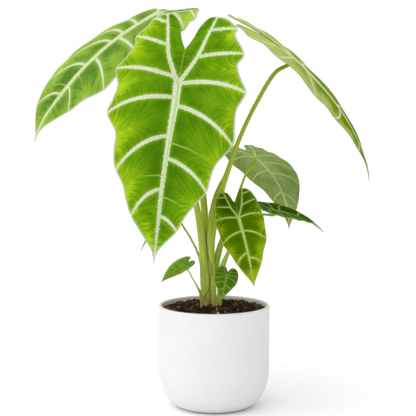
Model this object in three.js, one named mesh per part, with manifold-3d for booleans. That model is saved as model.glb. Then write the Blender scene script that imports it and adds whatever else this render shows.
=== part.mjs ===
import * as THREE from 'three';
import { mergeVertices } from 'three/addons/utils/BufferGeometryUtils.js';
import Module from 'manifold-3d';

// A potted alocasia with velvety, pale-veined, heart- to arrow-shaped leaves.
// Millimetres, +Z up. The origin is the middle of the pot's underside and the front of the plant is -Y.

// Driving sizes
const POT_DIAMETER = 140;
const POT_HEIGHT = 129;
const POT_WALL = 4.6;
const POT_FLOOR = 6;
const POT_FOOT_DIAMETER = 76;
const POT_FOOT_RISE = 48;
const GAP = 0.3;
const SOIL_EDGE_DEPTH = 6;
const SOIL_MOUND = 5;
const SOIL_LUMP = 0.9;
const STALK_BASE_HEIGHT = 112;
const STALK_HOLE_TOP = 150;
const STALK_HOLE_CLEARANCE = 0.35;
const BLADE_THICKNESS = 0.85;
const STALK_NECK = 3.4;

const wasm = await Module();
wasm.setup();

const plant = new THREE.Group();

function addPart(name, geometry, color, roughness) {
  const material = new THREE.MeshStandardMaterial({ color, roughness, metalness: 0 });
  const mesh = new THREE.Mesh(geometry, material);
  mesh.name = name;
  plant.add(mesh);
}

function toSolid(geometry) {
  const bare = geometry.index ? geometry.clone() : geometry;
  bare.deleteAttribute('normal');
  bare.deleteAttribute('uv');
  const merged = mergeVertices(bare, 1e-4);
  return new wasm.Manifold(new wasm.Mesh({
    numProp: 3,
    vertProperties: new Float32Array(merged.attributes.position.array),
    triVerts: new Uint32Array(merged.index.array),
  }));
}

function toGeometry(solid) {
  const mesh = solid.getMesh();
  const geometry = new THREE.BufferGeometry();
  geometry.setAttribute('position', new THREE.BufferAttribute(mesh.vertProperties, 3));
  geometry.setIndex(new THREE.BufferAttribute(mesh.triVerts, 1));
  return geometry;
}

// Pot: one cast ceramic cover pot with a rounded foot, a slight draft and a rounded lip
const POT_SEGMENTS = 44;
const potRadius = POT_DIAMETER / 2;
const innerTopRadius = potRadius - POT_WALL;
const innerFootRadius = POT_FOOT_DIAMETER / 2 + 4;

function arcPoints(centreX, centreY, radiusX, radiusY, fromDegrees, toDegrees, steps) {
  const points = [];
  for (let step = 0; step <= steps; step++) {
    const angle = THREE.MathUtils.degToRad(fromDegrees + (toDegrees - fromDegrees) * step / steps);
    points.push(new THREE.Vector2(centreX + radiusX * Math.cos(angle), centreY + radiusY * Math.sin(angle)));
  }
  return points;
}

function makePot() {
  const footRadius = POT_FOOT_DIAMETER / 2;
  const draft = 0.4;
  const lip = POT_WALL / 2;
  const profile = [
    new THREE.Vector2(0, 0),
    ...arcPoints(footRadius, POT_FOOT_RISE, potRadius - draft - footRadius, POT_FOOT_RISE, -90, 0, 7),
    new THREE.Vector2(potRadius, POT_HEIGHT - 18),
    ...arcPoints(potRadius - lip, POT_HEIGHT - lip, lip, lip, 0, 180, 5),
    ...arcPoints(innerFootRadius, POT_FOOT_RISE, innerTopRadius - innerFootRadius, POT_FOOT_RISE - POT_FLOOR,
      0, -90, 4),
    new THREE.Vector2(0, POT_FLOOR),
  ];
  const pot = new THREE.LatheGeometry(profile, POT_SEGMENTS);
  pot.rotateX(Math.PI / 2);
  return pot;
}

addPart('pot', makePot(), 0xf1f0ec, 0.55);

// Leaves: the pose of each blade and the route of its stalk
// length: stalk to tip. junction: where the stalk meets the blade. heading, pitch and roll in degrees.
// droop and sag bend the midrib down towards the tip, curl bends the two rear lobes and tuck lowers
// the left one. fold raises each half from the midrib and edge lets it fall again, wave ripples the margin.
// route: [x, y, z, half the stalk's width], wider where the stalk is sheathed. depth: half its depth below.
const leaves = [
  {
    name: 'front', length: 217, wide: 1, rear: 1, junction: [-43, -68, 403],
    heading: -132, pitch: -74, roll: 24.5, droop: 14.7, sag: 8, curl: 24, tuck: 0,
    fold: 11, edge: 16, twist: -12, sway: 0, scallop: 0, wave: 2.4,
    detail: 3, color: 0x5d9a18, depth: 4.4,
    route: [[-9.6, -3.8, 130, 5.1], [-11.4, -3.8, 155, 5.8], [-12.4, -3.8, 178, 5.5], [-15.3, -4.2, 211, 4.6],
      [-18.8, -7, 237, 4.2], [-22, -11, 256, 3.8], [-30, -26, 318, 3.2], [-37.5, -44, 367, 2.8]],
  },
  {
    name: 'upper_left', length: 249, wide: 0.95, rear: 0.52, junction: [-72, 48, 491],
    heading: 180.5, pitch: -17, roll: 16.5, droop: 25, sag: 50, curl: 48, tuck: 2,
    fold: 8, edge: 36, twist: -32, sway: 0.165, scallop: 0.035, wave: 2.2,
    detail: 3, color: 0x6f9c3c, depth: 4.3,
    route: [[-11.6, 5.6, 130, 4.4], [-11.4, 5.6, 160, 4.5], [-10.9, 5.8, 200, 4.6], [-11.3, 6.4, 235, 4.4],
      [-14.2, 10, 270, 4.2], [-22.5, 20, 335, 3.6], [-38, 31, 410, 3.1], [-53, 40, 454, 2.8]],
  },
  {
    name: 'right', length: 208, wide: 0.965, rear: 1.115, junction: [97.6, 10, 436],
    heading: 23, pitch: -38, roll: -25.3, droop: 14.5, sag: 23.5, curl: 41, tuck: 0,
    fold: 2, edge: 11, twist: 11.3, sway: -0.035, scallop: 0.03, wave: 2.0,
    detail: 3, color: 0x7f9a52, depth: 4.0,
    route: [[-0.6, -3.9, 130, 3.3], [-1.0, -3.9, 145, 3.6], [-2.2, -3.9, 173, 3.9], [-3.9, -4.0, 196, 4.7],
      [-3.3, -4.2, 218, 5.6], [1.2, -5.4, 248, 6.5], [5.2, -5.8, 265, 6.0], [9.6, -6.3, 278, 4.9],
      [15.2, -7, 292, 3.5], [30, -8, 334, 2.8], [51.8, -4, 380, 2.6], [76.5, 5, 419, 2.5]],
  },
  {
    name: 'mid_right', length: 124, wide: 0.95, rear: 0.81, junction: [51.8, 20, 312.6],
    heading: 47.5, pitch: -29, roll: 4.5, droop: 26.3, sag: 44.5, curl: 32, tuck: 0,
    fold: 10.7, edge: 29.5, twist: -8.5, sway: 0, scallop: 0.02, wave: 1.2,
    detail: 2, color: 0x7d9560, depth: 3.0,
    route: [[-0.4, 4.6, 130, 3.2], [0.2, 4.6, 155, 3.4], [2.8, 4.4, 177, 3.8], [5.6, 4.2, 194, 4.1],
      [11.8, 3.2, 214, 3.3], [21.4, 2, 241, 2.3], [32, 1, 272, 1.7], [41, 5, 295, 1.6]],
  },
  {
    name: 'low_front', length: 88.5, wide: 0.925, rear: 1.06, junction: [30, -32, 241],
    heading: -64.5, pitch: -63, roll: -29, droop: 16, sag: 8.5, curl: 21, tuck: 0,
    fold: 15.5, edge: 30, twist: 0, sway: 0.02, scallop: 0.045, wave: 1.0,
    detail: 2, color: 0x54800f, depth: 2.5,
    route: [[6.4, -2.8, 130, 2.6], [6.8, -3, 152, 2.7], [8.2, -5, 172, 3.0], [11.6, -6.5, 182, 3.1],
      [17.6, -9.5, 196, 2.2], [23.6, -16, 211, 1.8]],
  },
  {
    name: 'low_right', length: 82, wide: 1.0, rear: 1.04, junction: [77, 16, 245],
    heading: 24.5, pitch: -11, roll: -14, droop: 14, sag: 17, curl: -31, tuck: 0,
    fold: 15.5, edge: 23.5, twist: 4.3, sway: 0, scallop: 0.025, wave: 0.8,
    detail: 2, color: 0x3f6425, depth: 2.5,
    route: [[7.8, 4.3, 130, 2.5], [8.4, 4.3, 149, 2.6], [11.4, 5, 174, 2.8], [19.5, 7, 196, 2.0],
      [37, 10, 221, 1.7], [57, 14, 240, 1.5]],
  },
  {
    name: 'behind', length: 72, wide: 0.95, rear: 0.95, junction: [-52, 23, 251],
    heading: 188, pitch: -49, roll: 0, droop: 8, sag: 4, curl: 15, tuck: 0,
    fold: 12, edge: 25, twist: 0, sway: 0, scallop: 0.02, wave: 0.8,
    detail: 1, color: 0x557f2c, depth: 2.2,
    route: [[-14.2, 13, 130, 1.8], [-14.6, 13, 158, 1.8], [-18.8, 13.5, 187, 1.5], [-29.8, 15.5, 211, 1.4],
      [-41, 18, 229, 1.3]],
  },
  {
    name: 'small_left', length: 35.5, wide: 1.0, rear: 1.0, junction: [-38.3, -20, 181.5],
    heading: -157, pitch: -29.5, roll: 22.5, droop: 8.5, sag: 5, curl: 13.5, tuck: 0,
    fold: 15.5, edge: 20.5, twist: 1, sway: 0, scallop: 0.01, wave: 0.4,
    detail: 1, color: 0x3f7a22, depth: 1.5,
    route: [[-15.6, -13.5, 129.5, 1.5], [-16.6, -14.6, 144, 2.1], [-21.4, -17, 155, 1.2],
      [-27.2, -18.5, 165.5, 0.9], [-32.4, -19, 175, 0.9]],
  },
  {
    name: 'small_front', length: 39.5, wide: 1.0, rear: 1.06, junction: [15.4, -35, 170],
    heading: -101.5, pitch: -31, roll: 14.7, droop: 11, sag: 11, curl: 9, tuck: 0,
    fold: 15.7, edge: 24, twist: -3.8, sway: 0, scallop: 0.01, wave: 0.4,
    detail: 1, color: 0x3f7a22, depth: 1.4,
    route: [[3.6, -13, 129.5, 1.4], [3.8, -16.5, 140, 1.2], [6.1, -22, 151, 1.0], [10.9, -29, 163, 0.9]],
  },
];

// Outline of half a blade as shares of its length: [along the midrib, across it]
const OUTER_EDGE = [[-0.40, 0.15], [-0.375, 0.225], [-0.31, 0.285], [-0.19, 0.33], [-0.02, 0.362],
  [0.20, 0.362], [0.40, 0.31], [0.60, 0.215], [0.78, 0.115], [0.90, 0.040], [0.95, 0.012], [1, 0]];
const INNER_EDGE = [[-0.40, 0.15], [-0.385, 0.10], [-0.33, 0.06], [-0.26, 0.034], [-0.20, 0]];
const LOBE_RIB = [[0, 0], [-0.05, 0.028], [-0.16, 0.085], [-0.29, 0.12], [-0.40, 0.15]];
const LOBE_RIB_LENGTH = 0.43;
const SINUS_ON_RIB = 0.45;
const HALF_WIDTH = 0.36;

// Side veins of each half, from lobe end to tip: [place on the ribs, place on the outer edge].
// On the ribs -1 is the lobe end, 0 the stalk and 1 the tip. On the edge the unit is one outline point.
const PLAIN_HALVES = {
  left: {
    edge: OUTER_EDGE,
    veins: [[-1, 0], [-0.8, 1.6], [-0.5, 2.8], [-0.05, 4.1], [0.09, 5.25], [0.29, 6.3], [0.56, 7.65],
      [0.86, 9.1], [1, 11]],
  },
  right: {
    edge: OUTER_EDGE,
    veins: [[-1, 0], [-0.8, 1.6], [-0.5, 2.8], [-0.05, 4.1], [0.09, 5.4], [0.42, 6.95], [0.72, 8.4], [1, 11]],
  },
};
// Blades with halves of their own. The front one's margin swells out at the end of every side vein.
const OWN_HALVES = {
  front: {
    left: {
      edge: [[-0.40, 0.15], [-0.37, 0.23], [-0.32, 0.245], [-0.25, 0.306], [-0.19, 0.295], [-0.11, 0.33],
        [-0.045, 0.374], [0.05, 0.336], [0.13, 0.348], [0.21, 0.368], [0.31, 0.296], [0.40, 0.288],
        [0.49, 0.272], [0.58, 0.212], [0.67, 0.178], [0.74, 0.147], [0.85, 0.065], [0.91, 0.022],
        [0.95, 0.010], [1, 0]],
      veins: [[-1, 0], [-0.86, 1], [-0.6, 3], [-0.2, 6], [0.075, 9], [0.31, 12], [0.575, 15], [1, 19]],
    },
    right: {
      edge: [[-0.40, 0.15], [-0.385, 0.215], [-0.34, 0.277], [-0.30, 0.276], [-0.205, 0.343], [-0.136, 0.323],
        [-0.062, 0.356], [0.006, 0.394], [0.10, 0.361], [0.20, 0.365], [0.295, 0.366], [0.40, 0.295],
        [0.49, 0.271], [0.56, 0.258], [0.63, 0.21], [0.705, 0.159], [0.795, 0.117], [0.885, 0.043],
        [0.93, 0.014], [1, 0]],
      veins: [[-1, 0], [-0.8, 2], [-0.5, 4], [-0.02, 7], [0.115, 10], [0.405, 13], [0.72, 16], [1, 19]],
    },
  },
  upper_left: {
    left: {
      edge: [[-0.40, 0.15], [-0.375, 0.19], [-0.31, 0.23], [-0.19, 0.285], [-0.02, 0.335], [0.20, 0.348],
        [0.40, 0.308], [0.60, 0.238], [0.78, 0.142], [0.90, 0.046], [0.95, 0.013], [1, 0]],
      veins: [[-1, 0], [-0.8, 1.6], [-0.5, 2.8], [-0.05, 4.1], [0.11, 5.2], [0.19, 5.95], [0.275, 6.75],
        [0.435, 7.35], [0.65, 8.15], [0.86, 9.2], [1, 11]],
    },
    right: {
      edge: [[-0.40, 0.15], [-0.375, 0.22], [-0.31, 0.29], [-0.19, 0.345], [-0.02, 0.366], [0.20, 0.356],
        [0.40, 0.307], [0.60, 0.209], [0.78, 0.114], [0.90, 0.037], [0.95, 0.012], [1, 0]],
      veins: [[-1, 0], [-0.8, 1.6], [-0.5, 2.8], [-0.05, 4.0], [0.23, 4.75], [0.385, 5.95], [0.59, 7.35],
        [0.84, 8.9], [1, 11]],
    },
  },
  right: {
    left: {
      edge: [[-0.40, 0.15], [-0.375, 0.212], [-0.31, 0.264], [-0.19, 0.296], [-0.02, 0.336], [0.20, 0.355],
        [0.40, 0.306], [0.60, 0.223], [0.78, 0.116], [0.90, 0.040], [0.95, 0.012], [1, 0]],
      veins: [[-1, 0], [-0.45, 1.75], [-0.02, 3.15], [0.12, 4.7], [0.43, 5.6], [0.69, 7.3], [1, 11]],
    },
    right: {
      edge: [[-0.40, 0.15], [-0.375, 0.232], [-0.31, 0.301], [-0.19, 0.307], [-0.02, 0.361], [0.20, 0.364],
        [0.40, 0.309], [0.60, 0.214], [0.78, 0.106], [0.90, 0.039], [0.95, 0.012], [1, 0]],
      veins: PLAIN_HALVES.right.veins,
    },
  },
  mid_right: {
    left: {
      edge: OUTER_EDGE,
      veins: [[-1, 0], [-0.8, 1.6], [-0.5, 2.8], [-0.05, 4.1], [0.12, 5.3], [0.31, 6.45], [0.6, 7.8],
        [0.86, 9.1], [1, 11]],
    },
    right: {
      edge: OUTER_EDGE,
      veins: [[-1, 0], [-0.8, 1.6], [-0.5, 2.8], [-0.02, 4.35], [0.26, 6], [0.58, 7.5], [1, 11]],
    },
  },
  low_front: {
    left: {
      edge: OUTER_EDGE,
      veins: [[-1, 0], [-0.8, 1.6], [-0.5, 2.8], [-0.03, 4], [0.19, 5.6], [0.5, 7.2], [1, 11]],
    },
    right: {
      edge: OUTER_EDGE,
      veins: [[-1, 0], [-0.8, 1.6], [-0.5, 2.8], [-0.01, 4.2], [0.19, 5.9], [0.57, 7.4], [1, 11]],
    },
  },
};
// By level of detail: spacing of the lattice lines along the ribs in blade lengths, and places from rib to edge
const LINE_SPACING = { 1: 0.17, 2: 0.085, 3: 0.045 };
const RIB_TO_EDGE = { 1: [0, 0.14, 0.55, 1], 2: [0, 0.08, 0.38, 0.7, 1], 3: [0, 0.05, 0.28, 0.52, 0.77, 1] };
const RIB_TO_SINUS = { 1: [0, 1], 2: [0, 0.4, 1], 3: [0, 0.2, 0.6, 1] };
// A side vein leaves its rib across the blade and turns along it. On a lobe it arches first towards the end.
const VEIN_BEND = new THREE.Vector2(0.15, 0.62);
const LOBE_VEIN_ARCH = 0.14;

const asCurve = (points) => new THREE.SplineCurve(
  points.map(([along, across]) => new THREE.Vector2(along, across)));
const innerEdge = asCurve(INNER_EDGE);
const lobeRib = asCurve(LOBE_RIB);

function ribPoint(place) {
  return place < 0 ? lobeRib.getPoint(-place) : new THREE.Vector2(place, 0);
}

// A flat point between the rib and the outer edge, on a vein line that bends towards the tip or the lobe end
function outerPoint(leaf, outerEdge, place, edgePlace, between, share) {
  const rib = ribPoint(place);
  const edge = outerEdge.getPoint(edgePlace / (outerEdge.points.length - 1));
  edge.lerp(rib, leaf.scallop * Math.sin(Math.PI * between) ** 2);
  const arch = LOBE_VEIN_ARCH * THREE.MathUtils.clamp(1 - 8 * place, 0, 1) * Math.abs(edge.y - rib.y);
  const bend = edge.clone().sub(rib).multiply(VEIN_BEND).add(rib).add(new THREE.Vector2(-arch, 0));
  const inward = 1 - share;
  return rib.multiplyScalar(inward * inward)
    .addScaledVector(bend, 2 * inward * share)
    .addScaledVector(edge, share * share);
}

// A flat point between a lobe's rib and the notch between the two lobes
function innerPoint(place, share) {
  const rib = ribPoint(place);
  const onLobe = -place;
  const edge = onLobe > SINUS_ON_RIB
    ? innerEdge.getPoint((1 - onLobe) / (1 - SINUS_ON_RIB))
    : new THREE.Vector2(INNER_EDGE.at(-1)[0] * onLobe / SINUS_ON_RIB, 0);
  return rib.lerp(edge, share);
}

// The flat sheet of a whole blade: triangles, and points in millimetres with the lift of quilting and ripple
function flatSheet(leaf) {
  const points = [];
  const triangles = [];
  const known = new Map();

  function addPoint(flat, side, lift, rib) {
    const along = flat.x * leaf.length * (flat.x < 0 ? leaf.rear : 1);
    const across = flat.y * leaf.length * leaf.wide * side;
    const key = `${along.toFixed(2)} ${across.toFixed(2)}`;
    if (!known.has(key)) {
      known.set(key, points.length);
      points.push({ along, across, lift, rib });
    }
    return known.get(key);
  }

  function addQuad(a, b, c, d, side) {
    for (const triangle of [[a, b, c], [a, c, d]]) {
      if (new Set(triangle).size === 3) {
        triangles.push(side > 0 ? triangle : triangle.reverse());
      }
    }
  }

  // The halves share their points on the ribs, so both have a lattice line at every vein of either
  const halves = OWN_HALVES[leaf.name] ?? PLAIN_HALVES;
  const veinPlaces = [...halves.left.veins, ...halves.right.veins].map(([place]) => place);
  const stretchEnds = [...new Set([0, ...veinPlaces])].sort((a, b) => a - b);
  const places = stretchEnds.slice(0, -1).flatMap((place, stretch) => {
    const reach = stretchEnds[stretch + 1] - place;
    const lines = Math.ceil(reach * (place < 0 ? LOBE_RIB_LENGTH : 1) / LINE_SPACING[leaf.detail]);
    return Array.from({ length: lines }, (_, line) => place + reach * line / lines);
  });
  places.push(1);

  for (const [half, side] of [[halves.left, -1], [halves.right, 1]]) {
    const outerEdge = asCurve(half.edge);
    const columns = places.map((place) => {
      const vein = Math.max(0, half.veins.findIndex(([next]) => next >= place) - 1);
      const [[from, edgeFrom], [to, edgeTo]] = half.veins.slice(vein, vein + 2);
      const between = (place - from) / (to - from);
      return { place, between, edgePlace: THREE.MathUtils.lerp(edgeFrom, edgeTo, between) };
    });

    const outerRows = columns.map(({ place, edgePlace, between }) => RIB_TO_EDGE[leaf.detail].map((share) => {
      const quilt = 0.5 * leaf.wave * Math.sin(Math.PI * between) ** 2 * Math.sin(Math.PI * share);
      const ripple = 0.5 * leaf.wave * share ** 2 * Math.cos(2 * Math.PI * between) * (1 - Math.max(place, 0));
      const onVein = between === 0 || between === 1;
      const rib = share === 0 ? 1 : (onVein ? 0.5 : 0);
      return addPoint(outerPoint(leaf, outerEdge, place, edgePlace, between, share), side, quilt - ripple, rib);
    }));
    const lobeColumns = columns.filter(({ place }) => place <= 0);
    const innerRows = lobeColumns.map(({ place }) => RIB_TO_SINUS[leaf.detail].map((share) => {
      return addPoint(innerPoint(place, share), side, 0, share === 0 ? 1 : 0);
    }));
    for (let column = 0; column < outerRows.length - 1; column++) {
      for (let row = 0; row < RIB_TO_EDGE[leaf.detail].length - 1; row++) {
        addQuad(outerRows[column][row], outerRows[column + 1][row],
          outerRows[column + 1][row + 1], outerRows[column][row + 1], side);
      }
    }
    for (let column = 0; column < innerRows.length - 1; column++) {
      for (let row = 0; row < RIB_TO_SINUS[leaf.detail].length - 1; row++) {
        addQuad(innerRows[column][row], innerRows[column][row + 1],
          innerRows[column + 1][row + 1], innerRows[column + 1][row], side);
      }
    }
  }
  return { points, triangles };
}

// The blade's own axes at the stalk: along the midrib, across it and out of the upper surface
function bladeAxes(leaf) {
  const heading = THREE.MathUtils.degToRad(leaf.heading);
  const pitch = THREE.MathUtils.degToRad(leaf.pitch);
  const along = new THREE.Vector3(
    Math.cos(pitch) * Math.cos(heading), Math.cos(pitch) * Math.sin(heading), Math.sin(pitch));
  const up = new THREE.Vector3(0, 0, 1).addScaledVector(along, -along.z).normalize();
  const face = up.clone().applyAxisAngle(along, -THREE.MathUtils.degToRad(leaf.roll));
  return { along, across: face.clone().cross(along), face };
}

// Run, rise and turn of the bent midrib, or of the curled lobes behind the stalk
function alongMidrib(leaf, share) {
  const steps = 24;
  const turnAt = (at) => (share >= 0
    ? -THREE.MathUtils.degToRad(leaf.droop * at + leaf.sag * at * at)
    : THREE.MathUtils.degToRad(leaf.curl * at));
  const size = Math.abs(share);
  const direction = Math.sign(share);
  let run = 0;
  let rise = 0;
  for (let step = 0; step < steps; step++) {
    const turn = turnAt(size * (step + 0.5) / steps);
    run += direction * Math.cos(turn) * size / steps;
    rise += direction * Math.sin(turn) * size / steps;
  }
  return { run: run * leaf.length, rise: rise * leaf.length, turn: turnAt(size) };
}

function bendPoint(leaf, axes, { along, across, lift }) {
  const share = along / leaf.length;
  const { run, rise, turn } = alongMidrib(leaf, share);
  const fold = THREE.MathUtils.degToRad(leaf.fold) * THREE.MathUtils.clamp(1 + share, 0, 1);
  const fall = THREE.MathUtils.degToRad(leaf.edge) / (HALF_WIDTH * leaf.length);
  const slope = fold - fall * Math.abs(across);
  const reach = (Math.sin(fold) - Math.sin(slope)) / fall;
  const tucked = leaf.tuck * Math.max(-across, 0) * Math.max(-share, 0);
  const height = (Math.cos(slope) - Math.cos(fold)) / fall - tucked;
  const sideways = reach * Math.sign(across) + leaf.sway * leaf.length * Math.sin(Math.PI * Math.max(share, 0));
  const twist = THREE.MathUtils.degToRad(leaf.twist) * share;
  const bentFace = axes.face.clone().multiplyScalar(Math.cos(turn))
    .addScaledVector(axes.along, -Math.sin(turn));
  const acrossNow = axes.across.clone().multiplyScalar(Math.cos(twist))
    .addScaledVector(bentFace, Math.sin(twist));
  const faceNow = bentFace.multiplyScalar(Math.cos(twist)).addScaledVector(axes.across, -Math.sin(twist));
  return new THREE.Vector3(...leaf.junction)
    .addScaledVector(axes.along, run)
    .addScaledVector(axes.face, rise)
    .addScaledVector(acrossNow, sideways)
    .addScaledVector(faceNow, height + lift);
}

// A closed solid from a bent sheet: upper and lower faces split alike, ribs standing out below
function thicken(sheet, corners, thickness, ribDepth) {
  const normals = corners.map(() => new THREE.Vector3());
  for (const [a, b, c] of sheet.triangles) {
    const normal = new THREE.Triangle(corners[a], corners[b], corners[c]).getNormal(new THREE.Vector3());
    [a, b, c].forEach((corner) => normals[corner].add(normal));
  }
  normals.forEach((normal) => normal.normalize());
  const upper = corners.map((corner, index) => corner.clone().addScaledVector(normals[index], thickness / 2));
  const lower = corners.map((corner, index) => corner.clone()
    .addScaledVector(normals[index], -thickness / 2 - ribDepth * sheet.points[index].rib));
  const index = [];
  const edges = new Map();
  const below = corners.length;
  for (const [a, b, c] of sheet.triangles) {
    index.push(a, b, c, below + a, below + c, below + b);
    for (const [from, to] of [[a, b], [b, c], [c, a]]) {
      if (!edges.delete(`${to} ${from}`)) {
        edges.set(`${from} ${to}`, [from, to]);
      }
    }
  }
  for (const [from, to] of edges.values()) {
    index.push(from, below + from, below + to, from, below + to, to);
  }
  const geometry = new THREE.BufferGeometry();
  geometry.setAttribute('position', new THREE.Float32BufferAttribute(
    [...upper, ...lower].flatMap((point) => point.toArray()), 3));
  geometry.setIndex(index);
  return geometry;
}

function ribDepthOf(leaf) {
  return 0.006 * leaf.length;
}

function makeBlade(leaf, axes) {
  const sheet = flatSheet(leaf);
  const corners = sheet.points.map((point) => bendPoint(leaf, axes, point));
  return thicken(sheet, corners, BLADE_THICKNESS, ribDepthOf(leaf));
}

// Stalks: tapered stalks, broad and flattened where they are sheathed, each ending just under its own blade
function makeStalk(leaf, axes) {
  const route = leaf.route.map(([x, y, z, halfWidth]) => ({ place: new THREE.Vector3(x, y, z), halfWidth }));
  const junction = new THREE.Vector3(...leaf.junction);
  const topRadius = route.at(-1).halfWidth;
  const seat = BLADE_THICKNESS / 2 + ribDepthOf(leaf) + GAP;
  const neck = STALK_NECK * topRadius;
  const foot = new THREE.Vector3(leaf.route[0][0], leaf.route[0][1], STALK_BASE_HEIGHT);
  const neckStart = junction.clone()
    .addScaledVector(axes.face, -seat - neck)
    .addScaledVector(axes.along, 0.2 * neck);
  const stations = [
    { place: foot, halfWidth: route[0].halfWidth },
    ...route,
    { place: neckStart, halfWidth: topRadius },
    { place: junction.clone().addScaledVector(axes.face, -seat), halfWidth: topRadius },
  ];
  const path = new THREE.CatmullRomCurve3(stations.map(({ place }) => place), false, 'centripetal');
  const steps = 2 * (stations.length - 1);
  const sides = leaf.detail === 1 ? 6 : 8;
  const positions = [];
  const index = [];
  const normal = new THREE.Vector3(1, 0, 0);
  for (let step = 0; step <= steps; step++) {
    const share = step / steps;
    const centre = path.getPoint(share);
    const tangent = step === steps ? axes.face : path.getTangent(share);
    normal.addScaledVector(tangent, -normal.dot(tangent)).normalize();
    const binormal = tangent.clone().cross(normal);
    const halfWidth = (stations[Math.floor(step / 2)].halfWidth + stations[Math.ceil(step / 2)].halfWidth) / 2;
    const halfDepth = Math.min(THREE.MathUtils.lerp(leaf.depth, topRadius, share ** 0.6), halfWidth + 0.6);
    for (let side = 0; side < sides; side++) {
      const angle = 2 * Math.PI * side / sides;
      const corner = centre.clone()
        .addScaledVector(normal, halfWidth * Math.cos(angle))
        .addScaledVector(binormal, halfDepth * Math.sin(angle));
      positions.push(...corner.toArray());
      if (step < steps) {
        const here = step * sides + side;
        const beside = step * sides + (side + 1) % sides;
        index.push(here, beside, beside + sides, here, beside + sides, here + sides);
      }
    }
  }
  for (let side = 1; side < sides - 1; side++) {
    const top = steps * sides;
    index.push(0, side + 1, side, top, top + side, top + side + 1);
  }
  const geometry = new THREE.BufferGeometry();
  geometry.setAttribute('position', new THREE.Float32BufferAttribute(positions, 3));
  geometry.setIndex(index);
  return geometry;
}

for (const leaf of leaves) {
  const axes = bladeAxes(leaf);
  addPart(`leaf_${leaf.name}`, makeBlade(leaf, axes), leaf.color, 0.75);
  addPart(`stalk_${leaf.name}`, makeStalk(leaf, axes), 0x8fa33f, 0.6);
}

// Soil: fills the pot up to a low, lumpy mound, with plain holes for the stalks
function soilHeight(x, y) {
  const nearness = Math.hypot(x, y) / innerTopRadius;
  const lumps = Math.sin(0.31 * x + 0.8) * Math.cos(0.27 * y - 0.4) + 0.6 * Math.sin(0.53 * x - 0.41 * y);
  const mound = SOIL_MOUND * (1 - nearness ** 2) + SOIL_LUMP * lumps * (1 - nearness ** 6);
  return POT_HEIGHT - SOIL_EDGE_DEPTH + mound;
}

function makeHole(stalks) {
  const shafts = stalks.map(({ route: [[x, y, , halfWidth]], depth }) => {
    const height = STALK_HOLE_TOP - STALK_BASE_HEIGHT + GAP;
    const radius = Math.max(halfWidth, depth) + STALK_HOLE_CLEARANCE;
    return wasm.Manifold.cylinder(height, radius, radius, 12).translate([x, y, STALK_BASE_HEIGHT - GAP]);
  });
  return wasm.Manifold.hull(shafts);
}

function makeSoil() {
  const soilFoot = POT_FLOOR + GAP;
  const rings = 6;
  const wallRadius = innerTopRadius - GAP;
  const profile = [
    new THREE.Vector2(0, soilFoot),
    ...arcPoints(innerFootRadius - GAP, POT_FOOT_RISE, wallRadius - innerFootRadius + GAP,
      POT_FOOT_RISE - soilFoot, -90, 0, 4),
  ];
  for (let ring = 0; ring <= rings; ring++) {
    profile.push(new THREE.Vector2(wallRadius * (1 - ring / rings), POT_HEIGHT));
  }
  const soil = new THREE.LatheGeometry(profile, POT_SEGMENTS);
  soil.rotateX(Math.PI / 2);
  const position = soil.attributes.position;
  for (let corner = 0; corner < position.count; corner++) {
    if (position.getZ(corner) > POT_HEIGHT - 1) {
      position.setZ(corner, soilHeight(position.getX(corner), position.getY(corner)));
    }
  }
  const clump = ['front', 'upper_left', 'right', 'mid_right', 'low_front', 'low_right'];
  const holes = [makeHole(leaves.filter(({ name }) => clump.includes(name)))];
  for (const leaf of leaves.filter(({ name }) => !clump.includes(name))) {
    holes.push(makeHole([leaf]));
  }
  return toGeometry(holes.reduce((solid, hole) => solid.subtract(hole), toSolid(soil)));
}

addPart('soil', makeSoil(), 0x3a2418, 0.95);

export default plant;
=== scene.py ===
import math

import bpy
import numpy as np
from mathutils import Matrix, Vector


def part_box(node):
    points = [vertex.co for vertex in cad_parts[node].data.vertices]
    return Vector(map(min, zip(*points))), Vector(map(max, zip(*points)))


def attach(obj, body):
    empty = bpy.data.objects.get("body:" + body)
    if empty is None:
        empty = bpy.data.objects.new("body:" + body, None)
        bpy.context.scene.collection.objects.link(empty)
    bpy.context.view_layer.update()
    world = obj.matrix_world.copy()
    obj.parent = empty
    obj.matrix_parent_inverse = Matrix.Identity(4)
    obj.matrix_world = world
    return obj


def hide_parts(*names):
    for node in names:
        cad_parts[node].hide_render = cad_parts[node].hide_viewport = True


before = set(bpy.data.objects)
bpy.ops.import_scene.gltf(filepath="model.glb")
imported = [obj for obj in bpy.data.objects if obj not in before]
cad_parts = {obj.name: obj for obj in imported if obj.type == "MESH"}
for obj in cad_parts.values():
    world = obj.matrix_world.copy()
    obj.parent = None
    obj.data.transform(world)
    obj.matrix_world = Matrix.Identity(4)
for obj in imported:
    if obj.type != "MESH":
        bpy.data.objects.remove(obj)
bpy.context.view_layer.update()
MM = 0.001

# Pot
# A cast ceramic cover pot with a wide rounded foot, a nearly upright wall and a soft round lip.
# It is glazed matt white inside and out, and stands on its own flat underside.
POT_LOW, POT_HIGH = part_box("pot")
POT_RADIUS = (POT_HIGH[0] - POT_LOW[0]) / 2
POT_HEIGHT = POT_HIGH[2]
POT_WALL = 4.6 * MM
POT_FLOOR = 6 * MM
POT_FOOT_RADIUS = 38 * MM
POT_INNER_FOOT_RADIUS = 42 * MM
POT_FOOT_RISE = 48 * MM
POT_FOOT_ROUNDING = 1.2 * MM
POT_DRAFT = 0.4 * MM
POT_DRAFT_ENDS = 18 * MM
POT_LIP_STARTS = 6 * MM
POT_INNER_WALL_ENDS = 12 * MM
POT_SEGMENTS = 192
FOOT_STEPS = 28
ROUNDING_STEPS = 14
POT_INNER_RADIUS = POT_RADIUS - POT_WALL


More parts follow.
